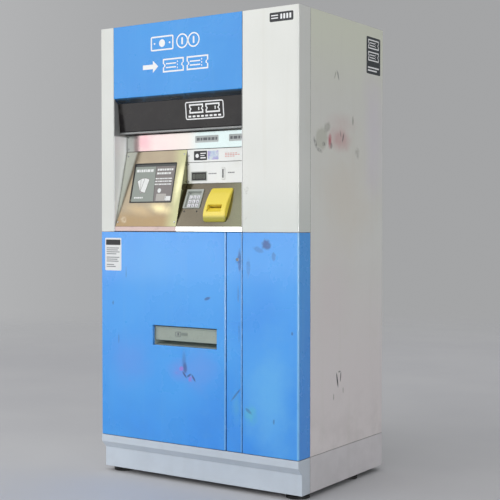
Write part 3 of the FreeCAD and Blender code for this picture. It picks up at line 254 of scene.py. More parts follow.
def brushed(name, base, warm, along="X", rough=0.24, tints=(), marks=(), lip=None, smears=0.5, grain=0.05):
    """Sheet metal brushed along one axis, with finger smears, a slow change of tint and painted shade in its
    corners.

    tints and marks are as in paint; here they are painted reflections of the surroundings in the metal.
    lip is (height, colour) for a painted highlight on a folded edge below that height."""
    g = Graph(name, Metallic=1.0, Anisotropic=0.3)
    stretch = {"X": (0.02, 1, 1), "Y": (1, 0.02, 1), "Z": (1, 1, 0.02)}[along]
    lines = g.noise(1100.0, detail=2.0, stretch=stretch)
    slow = g.ramp(g.noise(5.0, detail=3.0), 0.3, 0.7)
    colour = g.mix(slow, base, warm)
    # painted reflections: tones of the surroundings mirrored in the metal, coming in along one axis
    for axis, start, end, tint in tints:
        colour = g.mix(g.ramp(g.coordinate(axis), start, end), colour, tint)
    # painted reflections: patches of the surroundings mirrored in the metal
    for make, reflection_tone, strength in marks:
        colour = g.mix(g.times(make(g), strength), colour, reflection_tone)
    smear = g.ramp(g.noise(24.0, detail=5.0, roughness=0.65, distortion=0.6), 0.52, 0.75)
    colour = g.mix(g.times(smear, 0.16 * smears), colour, tone(150, 144, 132))
    # painted highlight: the folded lip is coloured as if it caught the light
    if lip:
        height, lip_highlight = lip
        colour = g.mix(g.ramp(g.coordinate("Z"), height + 0.0006, height - 0.0006), colour, lip_highlight)
    # painted shade: corners and seams darkened by the ambient occlusion mask
    colour = g.mix(g.times(g.shaded_crevices(0.010), 0.5), colour, tone(58, 54, 48))
    g.set("Base Color", colour)
    ground = g.ramp(lines, 0.3, 0.7, rough - grain / 2, rough + grain / 2)
    g.set("Roughness", g.math("ADD", ground, g.times(smear, 0.12 * smears)))
    g.soft_edges(0.0016)
    g.bump(lines, 0.05, 0.0001)
    return g.material


def zinc():
    """Bright zinc plating with its spangle, with painted shade in corners."""
    g = Graph("zinc_plated", Metallic=0.9)
    spangle = g.cells(55.0)
    colour = g.mix(g.ramp(spangle, 0.1, 0.7), tone(196, 200, 202), tone(180, 184, 188))
    # painted shade: corners darkened by the ambient occlusion mask
    colour = g.mix(g.times(g.shaded_crevices(0.02), 0.5), colour, tone(96, 94, 90))
    g.set("Base Color", colour)
    g.set("Roughness", g.ramp(spangle, 0.0, 0.8, 0.42, 0.52))
    g.soft_edges(0.0012)
    g.bump(g.noise(160.0, detail=3.0), 0.08, 0.0005)
    return g.material


def alloy():
    """Cast and machined light alloy, finely pebbled."""
    g = Graph("cast_alloy", Metallic=0.85)
    grain = g.noise(220.0, detail=4.0)
    slow = g.ramp(g.noise(12.0), 0.3, 0.7)
    g.set("Base Color", g.mix(slow, tone(176, 178, 180), tone(150, 152, 156)))
    g.set("Roughness", g.ramp(grain, 0.3, 0.7, 0.38, 0.5))
    g.soft_edges(0.001)
    g.bump(grain, 0.14, 0.0005)
    return g.material


def plating(name="bright_plating", base=tone(206, 208, 212), rough=0.16):
    """Bright plated steel with faint handling scratches."""
    g = Graph(name, Metallic=1.0)
    scratch = g.ramp(g.noise(300.0, detail=3.0, stretch=(1, 0.08, 0.4)), 0.6, 0.72)
    slow = g.ramp(g.noise(40.0), 0.35, 0.7)
    g.set("Base Color", g.mix(slow, base, tone(160, 162, 168)))
    g.set("Roughness", g.math("ADD", g.ramp(slow, 0.0, 1.0, rough, rough + 0.08), g.times(scratch, 0.15)))
    g.bump(scratch, 0.06, 0.0002)
    return g.material


def moulded(name, base, worn, rough=0.42, relief=0.18, dust=0.3, edge=0.0009, tints=(), **constants):
    """Moulded plastic: spark-eroded texture, worn in places, with painted shade in the corners. tints are as
    in paint.
    """
    g = Graph(name, **constants)
    pebble = g.noise(340.0, detail=3.0)
    rub = g.ramp(g.noise(30.0, detail=5.0, roughness=0.7), 0.52, 0.74)
    colour = g.mix(g.times(rub, 0.35), base, worn)
    for axis, start, end, tint in tints:
        colour = g.mix(g.ramp(g.coordinate(axis), start, end), colour, tint)
    # painted shade: corners darkened by the ambient occlusion mask, as strong as the dust argument sets
    colour = g.mix(g.times(g.shaded_crevices(0.006), dust), colour, tone(96, 88, 70))
    g.set("Base Color", colour)
    ground = g.ramp(pebble, 0.3, 0.7, rough - 0.05, rough + 0.05)
    g.set("Roughness", g.math("ADD", ground, g.times(rub, 0.12)))
    g.soft_edges(edge)
    g.bump(pebble, relief, 0.0003)
    return g.material


def rubber(name, base):
    """Black rubber with a dusty bloom."""
    g = Graph(name, Specular_IOR_Level=0.3)
    bloom = g.ramp(g.noise(35.0, detail=5.0), 0.45, 0.75)
    g.set("Base Color", g.mix(g.times(bloom, 0.4), base, tone(74, 72, 68)))
    g.set("Roughness", g.ramp(bloom, 0.0, 1.0, 0.62, 0.85))
    g.bump(g.noise(500.0, detail=3.0), 0.25, 0.0004)
    return g.material


def paper():
    """The wound edge of a paper roll: fine layer lines and a slight cream cast."""
    g = Graph("ticket_paper", Specular_IOR_Level=0.2)
    layers = g.cells(700.0, stretch=(0.02, 1, 1))
    g.set("Base Color", g.mix(g.ramp(layers, 0.2, 0.6), tone(238, 236, 228), tone(218, 214, 202)))
    g.set("Roughness", g.ramp(layers, 0.0, 0.6, 0.75, 0.9))
    g.bump(layers, 0.1, 0.0003)
    return g.material


def smoked(name, base, deep, rough, **constants):
    """Smoked acrylic: dark, glossy, with dust and fine wiping scratches."""
    g = Graph(name, **constants)
    dust = g.ramp(g.noise(12.0, detail=3.0), 0.45, 0.8)
    wipe = g.ramp(g.noise(260.0, detail=2.0, stretch=(0.05, 1, 1)), 0.58, 0.72)
    colour = g.mix(g.ramp(g.noise(4.0), 0.3, 0.7), base, deep)
    colour = g.mix(g.times(dust, 0.12), colour, tone(128, 126, 120))
    g.set("Base Color", colour)
    g.set("Roughness", g.math("ADD", g.ramp(dust, 0.0, 1.0, rough, rough + 0.16), g.times(wipe, 0.06)))
    g.soft_edges(0.002)
    g.bump(wipe, 0.04, 0.0002)
    return g.material


def printed(name, base, worn=None, rough=0.4, wear=0.3):
    """Ink or film on a label: slightly uneven, scuffed through in places."""
    g = Graph(name, Specular_IOR_Level=0.35)
    patchy = g.ramp(g.noise(60.0, detail=6.0, roughness=0.72), 0.56, 0.74)
    g.set("Base Color", g.mix(g.times(patchy, wear), base, worn or INK_SOFT))
    g.set("Roughness", g.ramp(patchy, 0.0, 1.0, rough, rough + 0.2))
    g.bump(g.noise(800.0, detail=2.0), 0.06, 0.0001)
    return g.material


def note_picture():
    """A generic banknote print: fine wavy lines that run from violet through blue to green."""
    g = Graph("note_picture", Specular_IOR_Level=0.4)
    wave = g.add("ShaderNodeTexWave", {"Vector": g.position, "Scale": 90.0, "Distortion": 6.0, "Detail": 2.0},
                 wave_type="RINGS", rings_direction="Y").outputs["Fac"]
    blend = g.ramp(g.noise(30.0, detail=2.0), 0.35, 0.65)
    ground = g.mix(blend, tone(138, 168, 228), tone(214, 228, 240))
    ground = g.mix(g.ramp(g.noise(24.0, stretch=(2, 1, 1)), 0.52, 0.66), ground, tone(162, 146, 220))
    g.set("Base Color", g.mix(g.ramp(wave, 0.4, 0.6, 0.0, 0.45), ground, tone(240, 242, 240)))
    g.set("Roughness", g.ramp(wave, 0.0, 1.0, 0.3, 0.4))
    return g.material


# ---- stains and painted reflection patches, placed in the machine's own frame, in metres ---------
FRONT_Y, SIDE_X = CAD_BOX[0][1], CAD_BOX[1][0]


def panel_patches(across, rows):
    """The stains of one panel, and on the metal the patches of painted reflection. A row is: place across and
    up, size across and up, turn; then ragged, break_up, keep, full and soft, as in Graph.patch; then colour
    and strength."""
    marks = []
    for a, up, width, height, turn, ragged, break_up, keep, full, soft, colour, strength in rows:
        place = (a, FRONT_Y, up) if across == "X" else (SIDE_X, a, up)
        maker = patch_of(place, (width, height), turn, across, ragged, break_up, keep, full, soft)
        marks.append((maker, colour, strength))
    return marks


SIDE_MARKS = panel_patches("Y", [
    (0.02, 1.14, 0.34, 0.34, 0.0, 0.5, 40.0, 0.95, 0.0, 0.5, tone(228, 216, 198), 0.4),
    (0.26, 1.42, 0.14, 0.38, 0.0, 0.5, 40.0, 0.95, 0.0, 0.5, tone(226, 218, 232), 0.5),
    (-0.1, 0.75, 0.22, 0.3, 0.0, 0.4, 40.0, 0.95, 0.0, 0.5, tone(232, 222, 222), 0.5),
    (-0.03, 1.357, 0.115, 0.062, 0.0, 0.35, 40.0, 0.9, 0.1, 0.5, PINK, 0.5),
    (-0.02, 1.42, 0.16, 0.06, 0.0, 0.4, 40.0, 0.9, 0.0, 0.5, PINK, 0.18),
    (-0.172, 1.35, 0.056, 0.05, 0.5, 0.25, 40.0, 0.95, 0.6, 0.4, tone(196, 197, 182), 0.7),
    (-0.218, 1.332, 0.01, 0.034, 0.45, 0.6, 70.0, 0.55, 0.45, 0.2, SOOT, 0.62),
    (-0.19, 1.307, 0.03, 0.01, -0.3, 0.6, 80.0, 0.5, 0.45, 0.2, SOOT, 0.6),
    (-0.155, 1.332, 0.016, 0.01, 0.0, 0.6, 90.0, 0.55, 0.45, 0.08, SOOT, 0.5),
    (-0.13, 1.395, 0.035, 0.022, 0.5, 0.5, 60.0, 0.7, 0.45, 0.3, SCUFF, 0.5),
    (-0.108, 1.347, 0.018, 0.036, 0.0, 0.35, 60.0, 0.85, 0.2, 0.3, RED, 0.85),
    (-0.097, 1.328, 0.01, 0.016, 0.0, 0.4, 90.0, 0.7, 0.45, 0.08, SOOT, 0.45),
    (-0.004, 1.365, 0.007, 0.026, -0.35, 0.3, 90.0, 0.85, 0.45, 0.08, SOOT, 0.6),
    (-0.024, 1.378, 0.005, 0.016, 0.25, 0.3, 90.0, 0.8, 0.45, 0.08, SOOT, 0.4),
    (0.076, 1.436, 0.007, 0.024, 0.0, 0.4, 90.0, 0.7, 0.45, 0.08, SCUFF, 0.7),
    (0.112, 1.312, 0.026, 0.03, 0.4, 0.6, 70.0, 0.5, 0.45, 0.2, SCUFF, 0.45),
    (-0.066, 1.604, 0.005, 0.024, -0.45, 0.3, 90.0, 0.85, 0.45, 0.08, SCUFF, 0.55),
    (-0.045, 1.604, 0.006, 0.024, 0.35, 0.3, 90.0, 0.85, 0.45, 0.08, SOOT, 0.55),
    (-0.0465, 0.421, 0.0055, 0.034, 0.22, 0.25, 90.0, 0.95, 0.6, 0.08, SOOT, 1.0),
    (-0.02, 0.431, 0.0045, 0.024, -0.1, 0.25, 90.0, 0.95, 0.6, 0.08, SOOT, 0.85),
    (-0.03, 0.452, 0.012, 0.0045, 0.0, 0.25, 90.0, 0.9, 0.45, 0.08, SOOT, 0.7),
    (-0.075, 0.358, 0.004, 0.016, 0.0, 0.4, 90.0, 0.7, 0.45, 0.08, SCUFF, 0.8),
    (0.0, 0.375, 0.004, 0.016, 0.0, 0.4, 90.0, 0.7, 0.45, 0.08, SCUFF, 0.7),
])
SERVICE_MARKS = panel_patches("X", [
    (-0.072, 0.45, 0.08, 0.06, 0.0, 0.3, 40.0, 0.95, 0.0, 0.5, VIOLET, 0.4),
    (0.03, 0.46, 0.12, 0.12, 0.0, 0.4, 40.0, 0.9, 0.0, 0.5, tone(128, 158, 240), 0.35),
    (-0.049, 0.487, 0.016, 0.062, 0.0, 0.2, 40.0, 0.95, 0.1, 0.5, SHADE_BLUE, 0.42),
    (-0.044, 0.462, 0.014, 0.03, -0.1, 0.35, 40.0, 0.85, 0.3, 0.3, SHADE_BLUE, 0.7),
    (-0.046, 0.434, 0.02, 0.0055, 0.85, 0.3, 70.0, 0.9, 0.45, 0.08, SHADE_BLUE, 0.95),
    (-0.025, 0.433, 0.016, 0.0055, -0.6, 0.3, 70.0, 0.9, 0.45, 0.08, SHADE_BLUE, 0.85),
    (-0.003, 0.425, 0.022, 0.006, 0.95, 0.3, 70.0, 0.9, 0.45, 0.08, SHADE_BLUE, 0.9),
    (-0.062, 0.458, 0.014, 0.012, 0.0, 0.5, 60.0, 0.6, 0.45, 0.2, MAGENTA, 0.75),
    (-0.018, 0.419, 0.014, 0.014, 0.0, 0.5, 60.0, 0.6, 0.45, 0.2, MAGENTA, 0.75),
    (-0.082, 0.438, 0.022, 0.01, 0.2, 0.5, 60.0, 0.5, 0.45, 0.2, VIOLET, 0.6),
    (0.064, 0.739, 0.02, 0.007, -0.3, 0.4, 90.0, 0.85, 0.45, 0.08, SHADE_BLUE, 0.75),
    (-0.415, 0.705, 0.007, 0.012, 0.0, 0.6, 80.0, 0.6, 0.45, 0.08, SHADE_BLUE, 0.5),
    (-0.345, 0.83, 0.004, 0.03, 0.0, 0.5, 60.0, 0.6, 0.45, 0.08, SHADE_BLUE, 0.35),
    (-0.385, 0.56, 0.004, 0.03, 0.0, 0.5, 60.0, 0.6, 0.45, 0.08, SHADE_BLUE, 0.4),
    (-0.33, 0.47, 0.16, 0.16, 0.0, 0.4, 40.0, 0.9, 0.0, 0.5, tone(110, 150, 240), 0.4),
    (-0.24, 0.86, 0.2, 0.16, 0.0, 0.4, 40.0, 0.9, 0.0, 0.5, BLUE_PALE, 0.3),
])
RIGHT_BLUE_MARKS = panel_patches("X", [
    (0.336, 0.951, 0.026, 0.024, 0.35, 0.5, 60.0, 0.8, 0.45, 0.3, SHADE_BLUE, 0.85),
    (0.3, 0.932, 0.03, 0.012, 0.35, 0.6, 40.0, 0.6, 0.45, 0.3, SHADE_BLUE, 0.45),
    (0.369, 0.908, 0.012, 0.02, 0.0, 0.5, 40.0, 0.7, 0.45, 0.3, SHADE_BLUE, 0.45),
    (0.256, 0.87, 0.01, 0.05, 0.0, 0.6, 40.0, 0.5, 0.45, 0.2, SHADE_BLUE, 0.5),
    (0.36, 0.34, 0.2, 0.36, 0.0, 0.7, 40.0, 0.95, 0.0, 0.5, tone(104, 192, 252), 0.7),
    (0.266, 0.306, 0.04, 0.055, 0.0, 0.5, 40.0, 0.85, 0.0, 0.5, tone(92, 200, 218), 0.7),
    (0.256, 0.32, 0.024, 0.008, 0.6, 0.5, 60.0, 0.7, 0.45, 0.08, SHADE_BLUE, 0.5),
    (0.371, 0.29, 0.006, 0.012, 0.0, 0.5, 60.0, 0.8, 0.45, 0.08, SHADE_BLUE, 0.5),
    (0.45, 0.624, 0.006, 0.008, 0.0, 0.5, 60.0, 0.8, 0.45, 0.08, SHADE_BLUE, 0.6),
])
STRIP_MARKS = panel_patches("X", [
    (0.214, 0.885, 0.009, 0.055, 0.0, 0.5, 40.0, 0.75, 0.45, 0.3, SHADE_BLUE, 0.7),
    (0.208, 0.76, 0.006, 0.04, 0.0, 0.5, 40.0, 0.6, 0.45, 0.3, SHADE_BLUE, 0.4),
    (0.212, 0.62, 0.005, 0.05, 0.0, 0.5, 40.0, 0.6, 0.45, 0.3, SHADE_BLUE, 0.4),
    (0.197, 0.376, 0.005, 0.042, 0.72, 0.3, 60.0, 0.8, 0.45, 0.2, SHADE_BLUE, 0.7),
    (0.2, 0.33, 0.03, 0.09, 0.0, 0.5, 40.0, 0.7, 0.0, 0.4, tone(86, 180, 226), 0.5),
])
COLUMN_MARKS = panel_patches("X", [
    (0.26, 1.3, 0.02, 0.22, 0.0, 0.9, 26.0, 0.34, 0.45, 0.08, WHITE_AGED, 0.8),
    (0.245, 1.12, 0.012, 0.12, 0.0, 0.8, 40.0, 0.4, 0.45, 0.08, SCUFF, 0.45),
])
# a painted reflection: a pink patch on the header's polished steel
HEADER_REFLECTION = panel_patches("X", [
    (-0.315, 1.36, 0.065, 0.06, 0.0, 0.3, 40.0, 0.95, 0.0, 0.5, tone(188, 138, 146), 0.8),
])
# painted reflections on the console's steel: two bright patches, one low and one upright near the right, a
# brownish patch low down and a small pale spot
CONSOLE_REFLECTIONS = panel_patches("X", [
    (-0.185, 1.09, 0.085, 0.03, 0.15, 0.3, 40.0, 0.95, 0.0, 0.5, tone(196, 184, 144), 0.9),
    (-0.108, 1.195, 0.022, 0.11, 0.08, 0.3, 40.0, 0.95, 0.0, 0.5, tone(202, 200, 160), 0.8),
    (-0.29, 1.085, 0.11, 0.03, 0.2, 0.4, 40.0, 0.9, 0.0, 0.5, tone(160, 142, 112), 0.7),
    (-0.365, 1.045, 0.02, 0.016, 0.6, 0.6, 90.0, 0.5, 0.45, 0.2, tone(176, 170, 156), 0.7),
])


# ---- finishes ------------------------------------------------------------------------------------
def edge_highlight(node):
    """A painted highlight: the paint is pale along the rounded right edge of a panel, as if that edge caught
    the light.
    """
    low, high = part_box(node)
    corner = high.x - low.y
    return [((1, -1, 0), corner - 0.0085, corner - 0.0055, BLUE_EDGE_HIGHLIGHT)]


SIDE_TINTS = [("Z", 1.45, 1.83, tone(234, 237, 218)), ("Z", 1.15, 0.35, tone(236, 229, 228))]
BLUE_COAT = dict(gloss=0.27, foot_dirt=0.2, seam_shade_tone=SEAM_SHADE_BLUE)
white = paint("white_paint", WHITE, tone(229, 230, 224), WHITE_AGED)
# the niche liner turns grey above about 1.39 m: painted shade on its downward-facing ceiling strip
white_niche = paint("white_paint_niche", tone(255, 255, 255), tone(244, 246, 246), WHITE_AGED, foot_dirt=0.0,
                    tints=[("Z", 1.384, 1.392, tone(140, 142, 142))])
white_side = paint("white_paint_side", WHITE, tone(230, 230, 222), WHITE_AGED, SIDE_MARKS, tints=SIDE_TINTS)
white_column = paint("white_paint_column", WHITE, tone(228, 230, 224), WHITE_AGED, COLUMN_MARKS,
                     tints=[("Z", 1.25, 1.02, tone(222, 226, 220))])
blue = paint("blue_paint", BLUE, BLUE_DEEP, BLUE_PALE, **BLUE_COAT)
# the sign's blue darkens to near black in the last millimetres above its bottom edge: painted shade under its
# rounded lower edge
blue_sign = paint("blue_paint_sign", tone(26, 154, 238), tone(16, 144, 232), tone(70, 170, 238), coat=0.3,
                  **BLUE_COAT,
                  tints=[("Z", 1.5412, 1.5385, tone(40, 84, 120)), ("Z", 1.5385, 1.531, tone(34, 44, 52))])
# the blue panels below carry a painted highlight along their rounded right edges
blue_service = paint("blue_paint_service", BLUE, BLUE_DEEP, BLUE_PALE, SERVICE_MARKS, **BLUE_COAT,
                     tints=edge_highlight("service_panel"))
blue_right = paint("blue_paint_right", BLUE, BLUE_DEEP, BLUE_PALE, RIGHT_BLUE_MARKS, **BLUE_COAT,
                   tints=edge_highlight("lower_right_cover"))
blue_strip = paint("blue_paint_strip", BLUE, BLUE_DEEP, BLUE_PALE, STRIP_MARKS, **BLUE_COAT,
                   tints=edge_highlight("trim_strip"))
white_left = paint("white_paint_left", tone(226, 228, 223), tone(220, 222, 216), WHITE_AGED)
# painted blue bounce light on the plinth's front; the side paint on the next line is the same off-white
# without it
plinth_blue_bounce = paint("plinth_paint", PLINTH_BLUE_BOUNCE, PLINTH_DEEP_BLUE_BOUNCE, tone(200, 206, 212), foot_dirt=0.2)
plinth_side = paint("plinth_paint_side", tone(226, 222, 224), tone(218, 215, 217), tone(200, 196, 194),
                    foot_dirt=0.25)
enamel = paint("info_enamel", tone(244, 246, 244), tone(236, 238, 234), tone(218, 214, 202), gloss=0.22,
               foot_dirt=0.0)
# painted reflections on the polished steel: a pale left end, greyer and greenish tones towards the right, and
# the header's pink patch
steel = brushed("polished_stainless", tone(184, 172, 170), tone(182, 164, 164), rough=0.17,
                tints=[("X", -0.22, -0.10, tone(178, 172, 168)), ("X", -0.10, -0.02, tone(164, 176, 176)),
                       ("X", -0.355, -0.375, tone(214, 218, 214))],
                marks=HEADER_REFLECTION)
# painted reflections on the console: browner towards the bottom, greenish towards the right, and pale in a
# corner along the left edge that widens upwards; its folded lip carries a painted highlight
brass = brushed("warm_console_steel", tone(128, 117, 102), tone(140, 130, 112), rough=0.17,
                tints=[("Z", 1.10, 1.04, tone(134, 116, 90)), ("X", -0.17, -0.10, tone(150, 150, 118)),
                       ((1, 0, -0.187), -0.590, -0.604, tone(226, 229, 218))],
                marks=CONSOLE_REFLECTIONS,
                lip=(LIP_TOP, tone(158, 142, 140)), smears=0.9)
# a painted reflection makes it greenish towards the right, and the near-white folded lip is a painted
# highlight
dark_steel = brushed("dark_console_steel", tone(138, 130, 114), tone(128, 120, 104), rough=0.2,
                     tints=[("X", 0.06, 0.2, tone(150, 150, 126))], lip=(LIP_TOP, tone(252, 252, 250)),
                     smears=0.6)
plated_zinc, light_alloy, bright = zinc(), alloy(), plating()
black_plastic = moulded("black_plastic", tone(38, 39, 42), tone(70, 70, 72), rough=0.5)
lock_black = moulded("lock_black", tone(40, 44, 52), tone(80, 84, 90), rough=0.35)
lock_metal = plating("lock_metal", tone(112, 122, 136), 0.34)
grey_plastic = moulded("grey_plastic", tone(184, 190, 184), tone(200, 204, 198), rough=0.4)
tray_plastic = moulded("tray_plastic", tone(196, 208, 202), tone(180, 190, 186), rough=0.45)
key_plastic = moulded("key_plastic", tone(240, 240, 244), tone(214, 212, 212), rough=0.42, edge=0.0006)
# the yellow turns darker and greener below about 1.05 m: painted shade on the bezel's downward-facing chin
yellow = moulded("yellow_plastic", tone(255, 232, 84), tone(248, 220, 74), rough=0.3, relief=0.08, dust=0.5,
                 edge=0.002, tints=[("Z", 1.066, 1.050, tone(182, 174, 58))], Coat_Weight=0.4)
visor = smoked("smoked_visor", tone(30, 25, 27), tone(24, 22, 24), 0.2, Specular_IOR_Level=0.28)
display_black = smoked("display_face", tone(34, 40, 38), tone(44, 50, 48), 0.16)
flap_plastic = smoked("flap_plastic", tone(172, 182, 168), tone(158, 170, 160), 0.26)
foot_rubber = rubber("foot_rubber", tone(26, 26, 27))
roller_rubber = rubber("roller_rubber", tone(52, 52, 54))

FINISH = {
    "white_paint": white, "blue_paint": blue, "plinth_paint": plinth_blue_bounce, "zinc_steel": plated_zinc,
    "polished_stainless": steel, "brass_stainless": brass, "dark_stainless": dark_steel,
    "visor_plastic": visor, "info_white": enamel, "yellow_plastic": yellow, "key_plastic": key_plastic,
    "grey_plastic": grey_plastic, "black_plastic": black_plastic, "display_face": display_black,
    "flap_plastic": flap_plastic, "chrome_metal": bright, "rubber_black": foot_rubber,
    "roller_rubber": roller_rubber, "paper_white": paper(), "cast_alloy": light_alloy,
}
OWN_FINISH = {
    "left_column_cover": white_left, "right_side_panel": white_side, "plinth_surround": plinth_side,
    "upper_right_cover": white_column,
    "niche_liner": white_niche, "sign_panel": blue_sign, "service_panel": blue_service,
    "lower_right_cover": blue_right, "trim_strip": blue_strip, "lock_housing": blue_strip,
    "lock_plug": lock_metal, "outlet_tray": tray_plastic, "ticket_chute": plated_zinc,
}


def finish_nodes():
    """Gives each CAD node its own finish, or the one of its material slot."""
    slots = {entry["node"]: entry["material_slot"] for entry in frame["record"]["subparts"]}
    for name, node in NODES.items():
        material = OWN_FINISH.get(name, FINISH[slots[name]])
        for slot in node.material_slots:
            slot.material = material


# ---- flat pieces on the machine's faces ----------------------------------------------------------
class Face:
    """The biggest flat stretch of a CAD node that looks one way, as a place to put labels."""

    def __init__(self, node, facing, body):
        self.body = body
        facing = Vector(facing).normalized()
        found = {}
        for polygon in NODES[node].data.polygons:
            if polygon.normal.dot(facing) > 0.97:
                key = round(polygon.normal.dot(polygon.center), 4)
                area, _, _ = found.get(key, (0.0, None, None))
                found[key] = (area + polygon.area, polygon.center.copy(), polygon.normal.copy())
        _, self.origin, self.normal = max(found.values(), key=lambda entry: entry[0])
        self.side = abs(self.normal.x) > 0.7

    def at(self, across, up, lift=0.0):
        """The point at X (Y on the side) = across and Z = up on the face, in metres, lifted off it."""
        n, o = self.normal, self.origin
        if self.side:
            x = o.x - (n.y * (across - o.y) + n.z * (up - o.z)) / n.x
            return Vector((x, across, up)) + n * lift
        y = o.y - (n.x * (across - o.x) + n.z * (up - o.z)) / n.y
        return Vector((across, y, up)) + n * lift


def rounded(x0, x1, z0, z1, radius, steps=5):
    """A rectangle's outline with rounded corners, counter-clockwise from its lower right."""
    points = []
    for cx, cz, start in ((x1, z0, -90), (x1, z1, 0), (x0, z1, 90), (x0, z0, 180)):
        mx = cx - radius if cx == x1 else cx + radius
        mz = cz - radius if cz == z1 else cz + radius
        for step in range(steps + 1):
            angle = math.radians(start + 90 * step / steps)
            points.append((mx + radius * math.cos(angle), mz + radius * math.sin(angle)))
    return points


def disc(x, z, radius, steps=24):
    return [(x + radius * math.cos(math.tau * i / steps), z + radius * math.sin(math.tau * i / steps))
            for i in range(steps)]


def bar(x0, x1, z0, z1):
    return [(x1, z0), (x1, z1), (x0, z1), (x0, z0)]


def arrow(x0, x1, z, half):
    neck, shaft = x1 - 1.1 * half, 0.38 * half
    return [(x0, z - shaft), (neck, z - shaft), (neck, z - half), (x1, z), (neck, z + half),
            (neck, z + shaft), (x0, z + shaft)]


def turned(outline, x, z, angle):
    """The outline turned about (x, z) by angle degrees."""
    c, s = math.cos(math.radians(angle)), math.sin(math.radians(angle))
    return [(x + (px - x) * c - (pz - z) * s, z + (px - x) * s + (pz - z) * c) for px, pz in outline]


def ticket_outline(x, z, width, height, bite, steps=6):
    """A ticket's outline: a rectangle with a half-round bite in each short end."""
    points = []
    for sign in (1, -1):
        edge = x + sign * width / 2
        points.append((edge, z - sign * height / 2))
        for step in range(steps + 1):
            angle = math.radians(-90 + 180 * step / steps)
            points.append((edge - sign * bite * math.cos(angle), z + sign * bite * math.sin(angle)))
        points.append((edge, z + sign * height / 2))
    return points


def ticket(x, z, width, height, line):
    """A ticket drawn with a line: its outline as (outer, inner), and bars for its print and perforation."""
    bite = height * 0.13
    outer = ticket_outline(x, z, width, height, bite)
    inner = ticket_outline(x, z, width - 2 * line, height - 2 * line, bite)
    tear, dash = x + width * 0.2, (height - 2 * line) / 7
    bars = [bar(tear - line / 3, tear + line / 3, z + (2 * i - 0.5) * dash, z + (2 * i + 0.5) * dash)
            for i in (-1, 0, 1)]
    left = x - width / 2 + line + bite
    bars += [bar(left + line * 0.4, tear - line * 1.2, z + level, z + level + line * 0.8)
             for level in (height * 0.08, -height * 0.2)]
    return (outer, inner), bars


def piece(name, mesh, material, body):
    """A mesh as a piece of its own, with its material, riding on a CAD body."""
    thing = bpy.data.objects.new(name, mesh)
    bpy.context.scene.collection.objects.link(thing)
    mesh.materials.append(material)
    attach(thing, body)


def built(bm, name, material, body):
    """Turns a finished bmesh into a piece."""
    bmesh.ops.recalc_face_normals(bm, faces=bm.faces)
    mesh = bpy.data.meshes.new(name)
    bm.to_mesh(mesh)
    bm.free()
    piece(name, mesh, material, body)


def prism(bm, face, outline, low, high):
    """One outline as a closed plate between two lifts off the face."""
    bottom = [bm.verts.new(face.at(px, pz, low)) for px, pz in outline]
    top = [bm.verts.new(face.at(px, pz, high)) for px, pz in outline]
    bm.faces.new(top)
    bm.faces.new(bottom[::-1])
    for i in range(len(outline)):
        j = (i + 1) % len(outline)
        bm.faces.new((bottom[i], bottom[j], top[j], top[i]))


def ring(bm, face, outer, inner, low, high):
    """A closed band between two outlines with the same number of points."""
    loops = [[bm.verts.new(face.at(px, pz, lift)) for px, pz in outline]
             for outline, lift in ((outer, low), (outer, high), (inner, high), (inner, low))]
    count = len(outer)
    for a in range(4):
        one, two = loops[a], loops[(a + 1) % 4]
        for i in range(count):
            j = (i + 1) % count
            bm.faces.new((one[i], one[j], two[j], two[i]))


def plates(name, face, outlines, material, thickness=FILM, rings=(), base=0.0):
    """Thin plates on a face, in one piece. Outlines come in millimetres; thickness and base are in metres."""
    bm = bmesh.new()
    scaled = [[(px * MM, pz * MM) for px, pz in outline] for outline in outlines]
    for outline in scaled:
        prism(bm, face, outline, base - SUNK, base + thickness)
    for outer, inner in rings:
        outer, inner = ([(px * MM, pz * MM) for px, pz in outline] for outline in (outer, inner))
        ring(bm, face, outer, inner, base - SUNK, base + thickness)
    built(bm, name, material, face.body)


def frame_of(x0, x1, z0, z1, radius, width):
    """A rounded outline drawn with a line of that width, for a ring."""
    return (rounded(x0, x1, z0, z1, radius),
            rounded(x0 + width, x1 - width, z0 + width, z1 - width, max(radius - width, 0.5)))


def screw(bm, face, across, up, radius):
    """A pan-head screw: a low dome of rings with a thin cross standing for its recess."""
    across, up, radius = across * MM, up * MM, radius * MM
    rings, count = [], 20
    profile = ((1.0, -0.05), (1.0, 0.18), (0.86, 0.42), (0.55, 0.55), (0.2, 0.58))
    for share, lift in profile:
        outline = disc(across, up, radius * share, count)
        rings.append([bm.verts.new(face.at(px, pz, radius * lift)) for px, pz in outline])
    for one, two in zip(rings, rings[1:]):
        for i in range(count):
            j = (i + 1) % count
            bm.faces.new((one[i], one[j], two[j], two[i]))
    bm.faces.new(rings[-1])
    bm.faces.new(rings[0][::-1])
    for turn in (0, 90):
        long, thick = radius * 0.5, radius * 0.09
        arm = turned(bar(across - long, across + long, up - thick, up + thick), across, up, turn + 20)
        prism(bm, face, arm, radius * 0.3, radius * 0.6)


def screws(name, face, places, radius, material):
    bm = bmesh.new()
    for across, up in places:
        screw(bm, face, across, up, radius)
    built(bm, name, material, face.body)


ink_white = printed("ink_white", tone(252, 253, 253), tone(226, 232, 236), wear=0.2)
ink_black = printed("ink_black", INK, tone(84, 84, 86))
ink_grey = printed("ink_grey", INK_SOFT, tone(140, 142, 142))
ink_red = printed("ink_red", tone(226, 146, 142), tone(238, 206, 202))
film_white = printed("film_white", LABEL_WHITE, tone(206, 206, 200), rough=0.3)
film_dark = printed("film_dark", tone(52, 58, 62), tone(92, 98, 100), rough=0.25)

